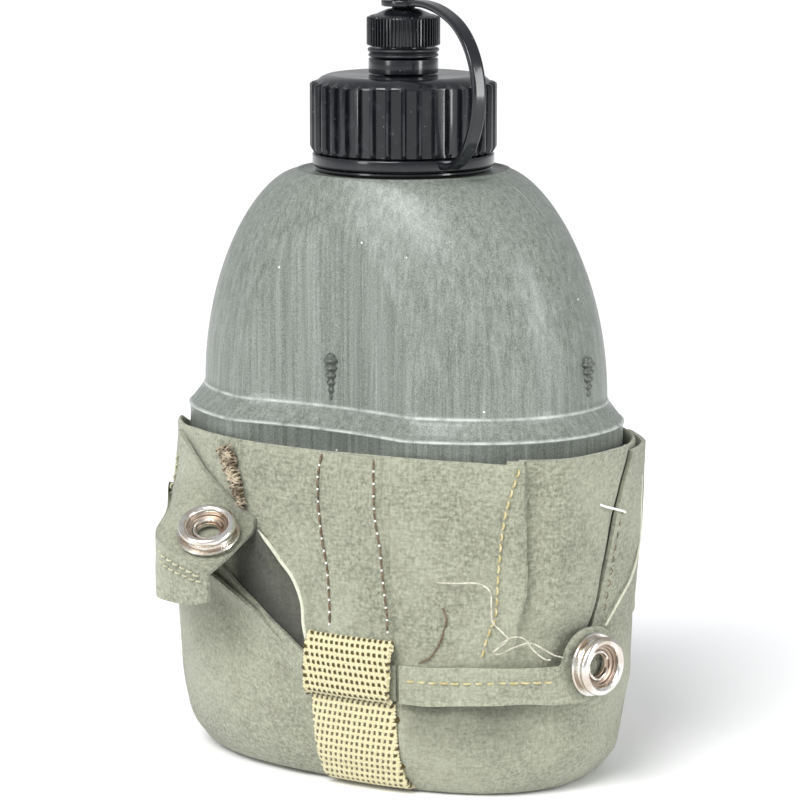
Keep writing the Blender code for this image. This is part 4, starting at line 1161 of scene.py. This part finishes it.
def bend_to_bag(x, y, z):
    """Moves a point that was laid out at the webbing's middle line to follow the bag's curve."""
    size = bag_size(max(0.0, z))
    middle = size[1] * (1.0 - abs(WEBBING_X / size[0]) ** BAG_SQUARENESS) ** (1.0 / BAG_SQUARENESS)
    here = size[1] * (1.0 - min(1.0, abs(x / size[0])) ** BAG_SQUARENESS) ** (1.0 / BAG_SQUARENESS)
    share = ease((abs(y) - 0.020) / 0.012)
    return Vector((x, math.copysign(abs(y) + (here - middle) * share, y), z))


def front_line(points):
    """(stand-off, z) pairs on the front at the webbing's middle, as (y, z)."""
    made = []
    for off, z in points:
        p = bag_point(front_angle(WEBBING_X, z), z, off, 0.0)
        made.append(Vector((p.y, z)))
    return smooth_route(made, 10)


keeper_line = front_line([(0.0021, 0.0262), (0.0040, 0.0282), (0.0043, 0.0320), (0.0043, 0.0385),
                          (0.0036, 0.0418), (0.0020, 0.0437)])
webbing_strip("webbing_keeper", keeper_line, (150, 110), 0.0012, "pouch", "keeper_loop", slant=0.0012)
half_line = front_line([(0.0017, 0.0262), (0.0018, 0.0200), (0.0019, 0.0130), (0.0020, 0.0090),
                        (0.0019, 0.0062)])
foot_y = half_line[-1].x
half_line += smooth_route([Vector((foot_y + inward, z)) for inward, z in
                           [(0.0006, 0.0046), (0.0018, 0.0028), (0.0038, 0.0015), (0.0066, 0.0009),
                            (0.0100, 0.0008), (0.0150, 0.0008), (0.0210, 0.0008), (0.0270, 0.0008)]], 6)
back_up = [Vector((-p.x, p.y)) for p in reversed(half_line)]
webbing_strip("base_webbing_cloth", half_line + back_up, (120, 560), 0.0012, "pouch", "base_webbing")
loop_line = []
for off, z in [(0.0016, 0.0300), (0.0016, 0.0350), (0.0085, 0.0410), (0.0090, 0.0580), (0.0085, 0.0750),
               (0.0016, 0.0805), (0.0016, 0.0860)]:
    p = bag_point(-front_angle(WEBBING_X, z), z, off, 0.0)
    loop_line.append(Vector((p.y, z)))
webbing_strip("belt_loop_cloth", smooth_route(loop_line[::-1], 14), (110, 250), 0.0012, "pouch", "belt_loop")

# ---- Stitching ----
# Lockstitch in brown and straw cotton. Each stitch is its own short thread that dips into the cloth at
# both ends, with a pale knot between two stitches.


def thread_finish(name, first, second, scale=900.0):
    made, tree, shader = new_finish(name, first, 0.8, Sheen_Weight=0.2)
    place = add(tree, "TexCoord")
    patches = speckle(tree, (place, "Object"), scale, 3.0)
    twist = add(tree, "TexWave", {"Vector": (place, "Object"), "Scale": 2400.0, "Distortion": 2.0})
    tone = mix(tree, (ramp(tree, (patches, 0), [(0.40, 0.0), (0.60, 1.0)]), 0), first, second)
    tree.links.new(tone.outputs[2], shader.inputs["Base Color"])
    bump = add(tree, "Bump", {"Height": (twist, 1), "Strength": 0.4, "Distance": 0.0001})
    tree.links.new(bump.outputs[0], shader.inputs["Normal"])
    return made


brown_thread = thread_finish("brown_thread", (0.085, 0.055, 0.028), (0.19, 0.13, 0.075))
straw_thread = thread_finish("straw_thread", (0.46, 0.37, 0.14), (0.60, 0.54, 0.32))
white_thread = thread_finish("white_thread", (0.82, 0.80, 0.74), (0.92, 0.91, 0.87))
loose_cotton = thread_finish("loose_cotton_thread", (0.40, 0.38, 0.30), (0.66, 0.64, 0.55))
drab_thread = thread_finish("drab_thread", (0.42, 0.41, 0.27), (0.55, 0.54, 0.38))
tuft_thread = thread_finish("tuft_thread", (0.12, 0.085, 0.045), (0.50, 0.42, 0.30), 500.0)


def sew(name, lines, finish, body="pouch", length=0.0026, gap=0.0007, radius=0.00030, knots=None):
    """Stitches along lines of points that lie on the cloth."""
    whole, dots = bmesh.new(), bmesh.new()
    rng = random.Random(len(name) * 7 + 3)
    for points in lines:
        line = smooth_route(points, 12)
        far, stops = 0.0, [0.0]
        for a, b in zip(line, line[1:]):
            stops.append(stops[-1] + (b - a).length)

        def at(distance):
            distance = max(0.0, min(stops[-1] - 1e-9, distance))
            k = max(i for i in range(len(stops) - 1) if stops[i] <= distance)
            return line[k].lerp(line[k + 1], (distance - stops[k]) / (stops[k + 1] - stops[k]))

        while far + length < stops[-1]:
            middle = at(far + length / 2)
            away = Vector((middle.x, middle.y, 0.0)).normalized()
            ends = [at(far), at(far + length * 0.25), middle, at(far + length * 0.75), at(far + length)]
            lean = Vector((rng.uniform(-1, 1), rng.uniform(-1, 1), rng.uniform(-1, 1))) * 0.00008
            lifts = (-0.0004, 0.00012, 0.00022, 0.00012, -0.0004)
            merge(whole, tube_along([p + away * up + lean for p, up in zip(ends, lifts)], radius, 5))
            if knots:
                spot = at(far + length + gap / 2) + away * 0.0001
                knot = bmesh.ops.create_icosphere(dots, subdivisions=1, radius=radius * 1.15)
                bmesh.ops.translate(dots, verts=knot["verts"], vec=spot)
            far += length + gap
    made = piece(name, whole, finish, body, "canvas", 0.0)
    if knots:
        piece(name + "_knots", dots, knots, body, "canvas", 0.0)
    else:
        dots.free()
    return made


strip_left = [on_front(x, z, 0.0017) for x, z in
              [(0.0058, 0.0915), (0.0044, 0.0840), (0.0053, 0.0707), (0.0072, 0.0609), (0.0078, 0.0500),
               (0.0078, 0.0440)]]
strip_right = [on_front(x, z, 0.0017) for x, z in
               [(0.0212, 0.0915), (0.0212, 0.0780), (0.0226, 0.0690), (0.0234, 0.0605), (0.0246, 0.0500),
                (0.0248, 0.0443)]]
sew("strip_stitches", [strip_left, strip_right], brown_thread, knots=white_thread)
dart_line = [on_front(x, z, 0.0004) for x, z in
             [(0.0556, 0.0905), (0.0529, 0.0781), (0.0516, 0.0627), (0.0511, 0.0520), (0.0497, 0.0475),
              (0.0475, 0.0385)]]
sew("dart_stitches", [dart_line], straw_thread, length=0.0020, gap=0.0009)
slit_line = []
for z in (0.0760, 0.0700, 0.0620, 0.0540, 0.0490):
    slit_line.append(bag_point(side_angle(between(SLIT, z) + 0.0032, z), z, 0.0020))
sew("slit_stitches", [slit_line], brown_thread, "right_flap", length=0.0018, gap=0.0014, radius=0.00016)
curve = [on_front(x, z, 0.0002) for x, z in
         [(0.0393, 0.0532), (0.0400, 0.0495), (0.0382, 0.0438), (0.0353, 0.0393), (0.0286, 0.0363)]]
sew("tuck_stitches", [curve], brown_thread, length=0.0060, gap=0.0002, radius=0.00028)
top_line = []
for u in (0.03, 0.2, 0.4, 0.55, 0.66):
    t, low, high, off = free_run_line(u)
    top_line.append(bag_point(t, low + (high - low) * 0.60, off + 0.0001, 0.4))
strap_sewing = sew("strap_stitches", [top_line], straw_thread, None, length=0.0021, gap=0.0010)
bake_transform(strap_sewing)


def flap_spot(u, v, lift=0.0004):
    here = left_flap_place(u, v)
    return here + Vector((here.x, here.y, 0.0)).normalized() * lift


sew("flap_hem_stitches", [
    [flap_spot(0.95, v) for v in (0.86, 0.70, 0.55, 0.40, 0.25, 0.17)],
    [flap_spot(u, 0.16) for u in (0.97, 0.80, 0.60, 0.40, 0.20, 0.06)],
    [flap_spot(u, 0.20) for u in (0.97, 0.80, 0.60, 0.40, 0.20, 0.06)],
], drab_thread, "left_flap", length=0.0018, gap=0.0008, radius=0.00028)

# the piped edges: a cord rolled into the turned edge of the cloth
piping = bmesh.new()
tongue_pipe = smooth_route([on_front(between(TONGUE_EDGE, z), z, 0.0017) for z in
                            (0.0368, 0.0400, 0.0450, 0.0510, 0.0570, 0.0612, 0.0648, 0.0686)], 6)
merge(piping, tube_along(tongue_pipe, lambda s: 0.00055 * min(1.0, (1 - s) * 9 + 0.2), 8))
slit_pipe = smooth_route([bag_point(side_angle(y, z), z, 0.0022) for y, z in
                          [(0.0163, 0.0828), (0.0158, 0.0740), (0.0151, 0.0650), (0.0090, 0.0570),
                           (0.0018, 0.0513), (-0.0040, 0.0456)]], 6)
merge(piping, tube_along(slit_pipe, 0.00035, 6))
pale_canvas = canvas_finish("pale_canvas", (0.60, 0.60, 0.47), (0.46, 0.47, 0.35), (0.72, 0.72, 0.60))
bmesh.ops.recalc_face_normals(piping, faces=piping.faces)
weave_map(piping, lambda v: (v.co.x, v.co.z))
piece("piped_edges", piping, pale_canvas, "pouch", "canvas", 0.0)

# ---- Bar tacks and loose thread ----
# A fat tuft of worn brown thread is the bar tack by the left flap, a single white one bridges the slit,
# and a white end of sewing thread has worked loose across the front.
tuft = bmesh.new()
rng = random.Random(4)
spine = smooth_route([on_front(x, z, 0.0007) for x, z in
                      [(-0.0284, 0.0898), (-0.0262, 0.0850), (-0.0240, 0.0800), (-0.0215, 0.0725)]], 12)
for i in range(150):
    k = rng.randrange(2, len(spine) - 3)
    share = k / len(spine)
    wide = 0.0046 * (1.0 - share) ** 0.8 + 0.0012
    across = Vector((0.95, -0.25, 0.18))
    slip = rng.uniform(-1.0, 1.0)
    middle = spine[k] + across * wide * 0.42 * slip
    turn = Vector((rng.uniform(-0.6, 0.6), 0.0, rng.uniform(-1.0, 1.0))) * 0.5
    turn += across * rng.choice((-1, 1)) * 0.6
    half = turn.normalized() * (0.0011 + wide * 0.18) * rng.uniform(0.7, 1.2)
    up = Vector((-0.2, -0.95, 0.1)) * rng.uniform(0.0006, 0.0014)
    merge(tuft, tube_along([middle - half, middle - half * 0.4 + up, middle + half * 0.4 + up, middle + half],
                           0.00026, 5))
piece("bar_tack_tuft", tuft, tuft_thread, "pouch", "canvas", 0.0)
bar = [bag_point(side_angle(y, z), z, lift) for y, z, lift in
       [(-0.0062, 0.0787, 0.0010), (-0.0050, 0.0780, 0.0026), (-0.0005, 0.0765, 0.0032),
        (0.0038, 0.0751, 0.0026), (0.0048, 0.0747, 0.0010)]]
piece("white_bar_tack", tube_along(smooth_route(bar, 6), 0.00034, 8), white_thread, "pouch", "canvas", 0.0)


def thread_spot(x, y, z, lift):
    """A point over the bag at the angle that reaches x and y."""
    half_x, half_y = bag_size(z)
    power = BAG_SQUARENESS / 2.0
    t = math.atan2(math.copysign(abs(y / half_y) ** power, y), math.copysign(abs(x / half_x) ** power, x))
    return bag_point(t, z, lift)


loose = smooth_route([thread_spot(x, y, z, lift) for x, y, z, lift in [
    (0.0378, -0.0391, 0.0601, 0.0012), (0.0425, -0.0370, 0.0604, 0.0018), (0.0470, -0.0345, 0.0606, 0.0022),
    (0.0497, -0.0330, 0.0585, 0.0022), (0.0500, -0.0328, 0.0545, 0.0020), (0.0502, -0.0326, 0.0505, 0.0020),
    (0.0520, -0.0312, 0.0478, 0.0024), (0.0528, -0.0306, 0.0462, 0.0036), (0.0512, -0.0318, 0.0440, 0.0034),
    (0.0502, -0.0324, 0.0425, 0.0026), (0.0515, -0.0316, 0.0418, 0.0022), (0.0545, -0.0294, 0.0438, 0.0026),
    (0.0572, -0.0264, 0.0446, 0.0034), (0.0590, -0.0240, 0.0430, 0.0040), (0.0606, -0.0218, 0.0412, 0.0042),
    (0.0620, -0.0196, 0.0402, 0.0042)]], 8)
loose_thread = piece("loose_thread", tube_along(loose, 0.00021, 6), loose_cotton, "pouch", "canvas", 0.0)
short_end = smooth_route([thread_spot(x, y, z, lift) for x, y, z, lift in [
    (0.0512, -0.0318, 0.0445, 0.0030), (0.0535, -0.0302, 0.0470, 0.0044), (0.0560, -0.0280, 0.0462, 0.0050),
    (0.0575, -0.0262, 0.0430, 0.0048), (0.0590, -0.0240, 0.0405, 0.0046),
    (0.0600, -0.0226, 0.0400, 0.0044)]], 8)
short_thread = piece("loose_thread_end", tube_along(short_end, 0.00020, 6), loose_cotton, "pouch", "canvas",
                     0.0)

# ---- Snap fasteners ----
# Nickel-plated brass. A flanged collar is clenched through the cloth on to a washer; a raised rolled
# rim stands on it, and a split spring ring and stepped brass show inside the hole.


def nickel_finish(name, colour, roughness):
    made, tree, shader = new_finish(name, colour, roughness, Metallic=1.0)
    place = add(tree, "TexCoord")
    wear = speckle(tree, (place, "Object"), 700.0, 5.0)
    stain = speckle(tree, (place, "Object"), 190.0, 3.0)
    tone = mix(tree, (ramp(tree, (stain, 0), [(0.42, 0.0), (0.66, 0.7)]), 0), colour,
               tuple(c * k for c, k in zip(colour, (0.62, 0.50, 0.38))))
    tree.links.new(tone.outputs[2], shader.inputs["Base Color"])
    rough = stretch(tree, (wear, 0), (0.0, 1.0), (roughness - 0.08, roughness + 0.2))
    tree.links.new(rough.outputs[0], shader.inputs["Roughness"])
    bump = add(tree, "Bump", {"Height": (wear, 0), "Strength": 0.12, "Distance": 0.0002})
    tree.links.new(bump.outputs[0], shader.inputs["Normal"])
    return made


nickel = nickel_finish("nickel_plate", (0.82, 0.80, 0.77), 0.18)
brassy = nickel_finish("worn_brass", (0.46, 0.38, 0.32), 0.30)
COLLAR = [
    (0.0034, 0.0000), (0.0080, 0.0000), (0.0084, 0.0002), (0.0085, 0.0006), (0.0082, 0.0010),
    (0.0074, 0.0010), (0.0068, 0.0010), (0.0066, 0.0013), (0.0066, 0.0019), (0.0069, 0.0022),
    (0.0075, 0.0025), (0.0078, 0.0031), (0.0078, 0.0037), (0.0074, 0.0043), (0.0068, 0.0045),
    (0.0061, 0.0044), (0.0057, 0.0040), (0.0056, 0.0034), (0.0055, 0.0016), (0.0034, 0.0008),
    (0.0034, 0.0006),
]
BRASS_STEPS = rounded([(0.0056, 0.0030), (0.0056, 0.0010), (0.0030, 0.0010), (0.0030, 0.0014),
                       (0.0042, 0.0015), (0.0042, 0.0021), (0.0050, 0.0023), (0.0050, 0.0030)], 0.0002)
SPRING_R, SPRING_Z = 0.0037, 0.0020
WASHER_DROP = 0.0026


def set_on(bm, foot, normal):
    """Turns a fastener that was made upright to face along normal, with its foot in place."""
    turn = normal.to_track_quat("Z", "Y").to_matrix().to_4x4()
    turn.translation = foot
    bmesh.ops.transform(bm, matrix=turn, verts=bm.verts)
    return bm


def snap(side, foot, normal, body):
    """Builds one snap at the foot of its collar, facing along normal."""
    turns = [math.radians(a) for a in range(20, 341, 10)]
    split_ring = [Vector((SPRING_R * math.cos(a), SPRING_R * math.sin(a), SPRING_Z)) for a in turns]
    washer = hoop(48, 0.0046, 0.0026, 0.0006, 0.0, 0.0002)
    bmesh.ops.translate(washer, verts=washer.verts, vec=(0, 0, -WASHER_DROP))
    for name, bm, finish, nodes in (
            ("collar", turned(72, COLLAR), nickel, [side + "_snap_ring"]),
            ("brass_steps", turned(48, BRASS_STEPS), brassy, []),
            ("spring", tube_along(split_ring, 0.00042, 8), nickel, [side + "_snap_spring"]),
            ("washer", washer, nickel, [side + "_snap_backing"])):
        piece(side + "_snap_" + name + "_visible", set_on(bm, foot, normal), finish, body, "nickel", 40.0,
              *nodes)


SHELF_MIDDLE = Vector((-0.02668, -0.05255, 0.06625))
SHELF_NORMAL = Vector((0.2314, -0.4629, 0.8557)).normalized()
snap("left", SHELF_MIDDLE + SHELF_NORMAL * 0.0012, SHELF_NORMAL, "left_flap")
right_foot = bag_point(TAB_T, TAB_Z, 0.0, 0.0)
right_normal = Vector((0.9787, -0.2054, 0.0))
snap("right", right_foot + right_normal * 0.0044, right_normal, "strap_end")
stud = rounded([(0.0, 0.0015), (0.0017, 0.0015), (0.0021, 0.0011), (0.0018, 0.0006), (0.0044, 0.0005),
                (0.0044, 0.0), (0.0, 0.0)], 0.0002)
piece("stud", set_on(turned(48, stud), right_foot + right_normal * 0.0003, right_normal), nickel, "pouch",
      "nickel", 40.0, "right_snap_stud")
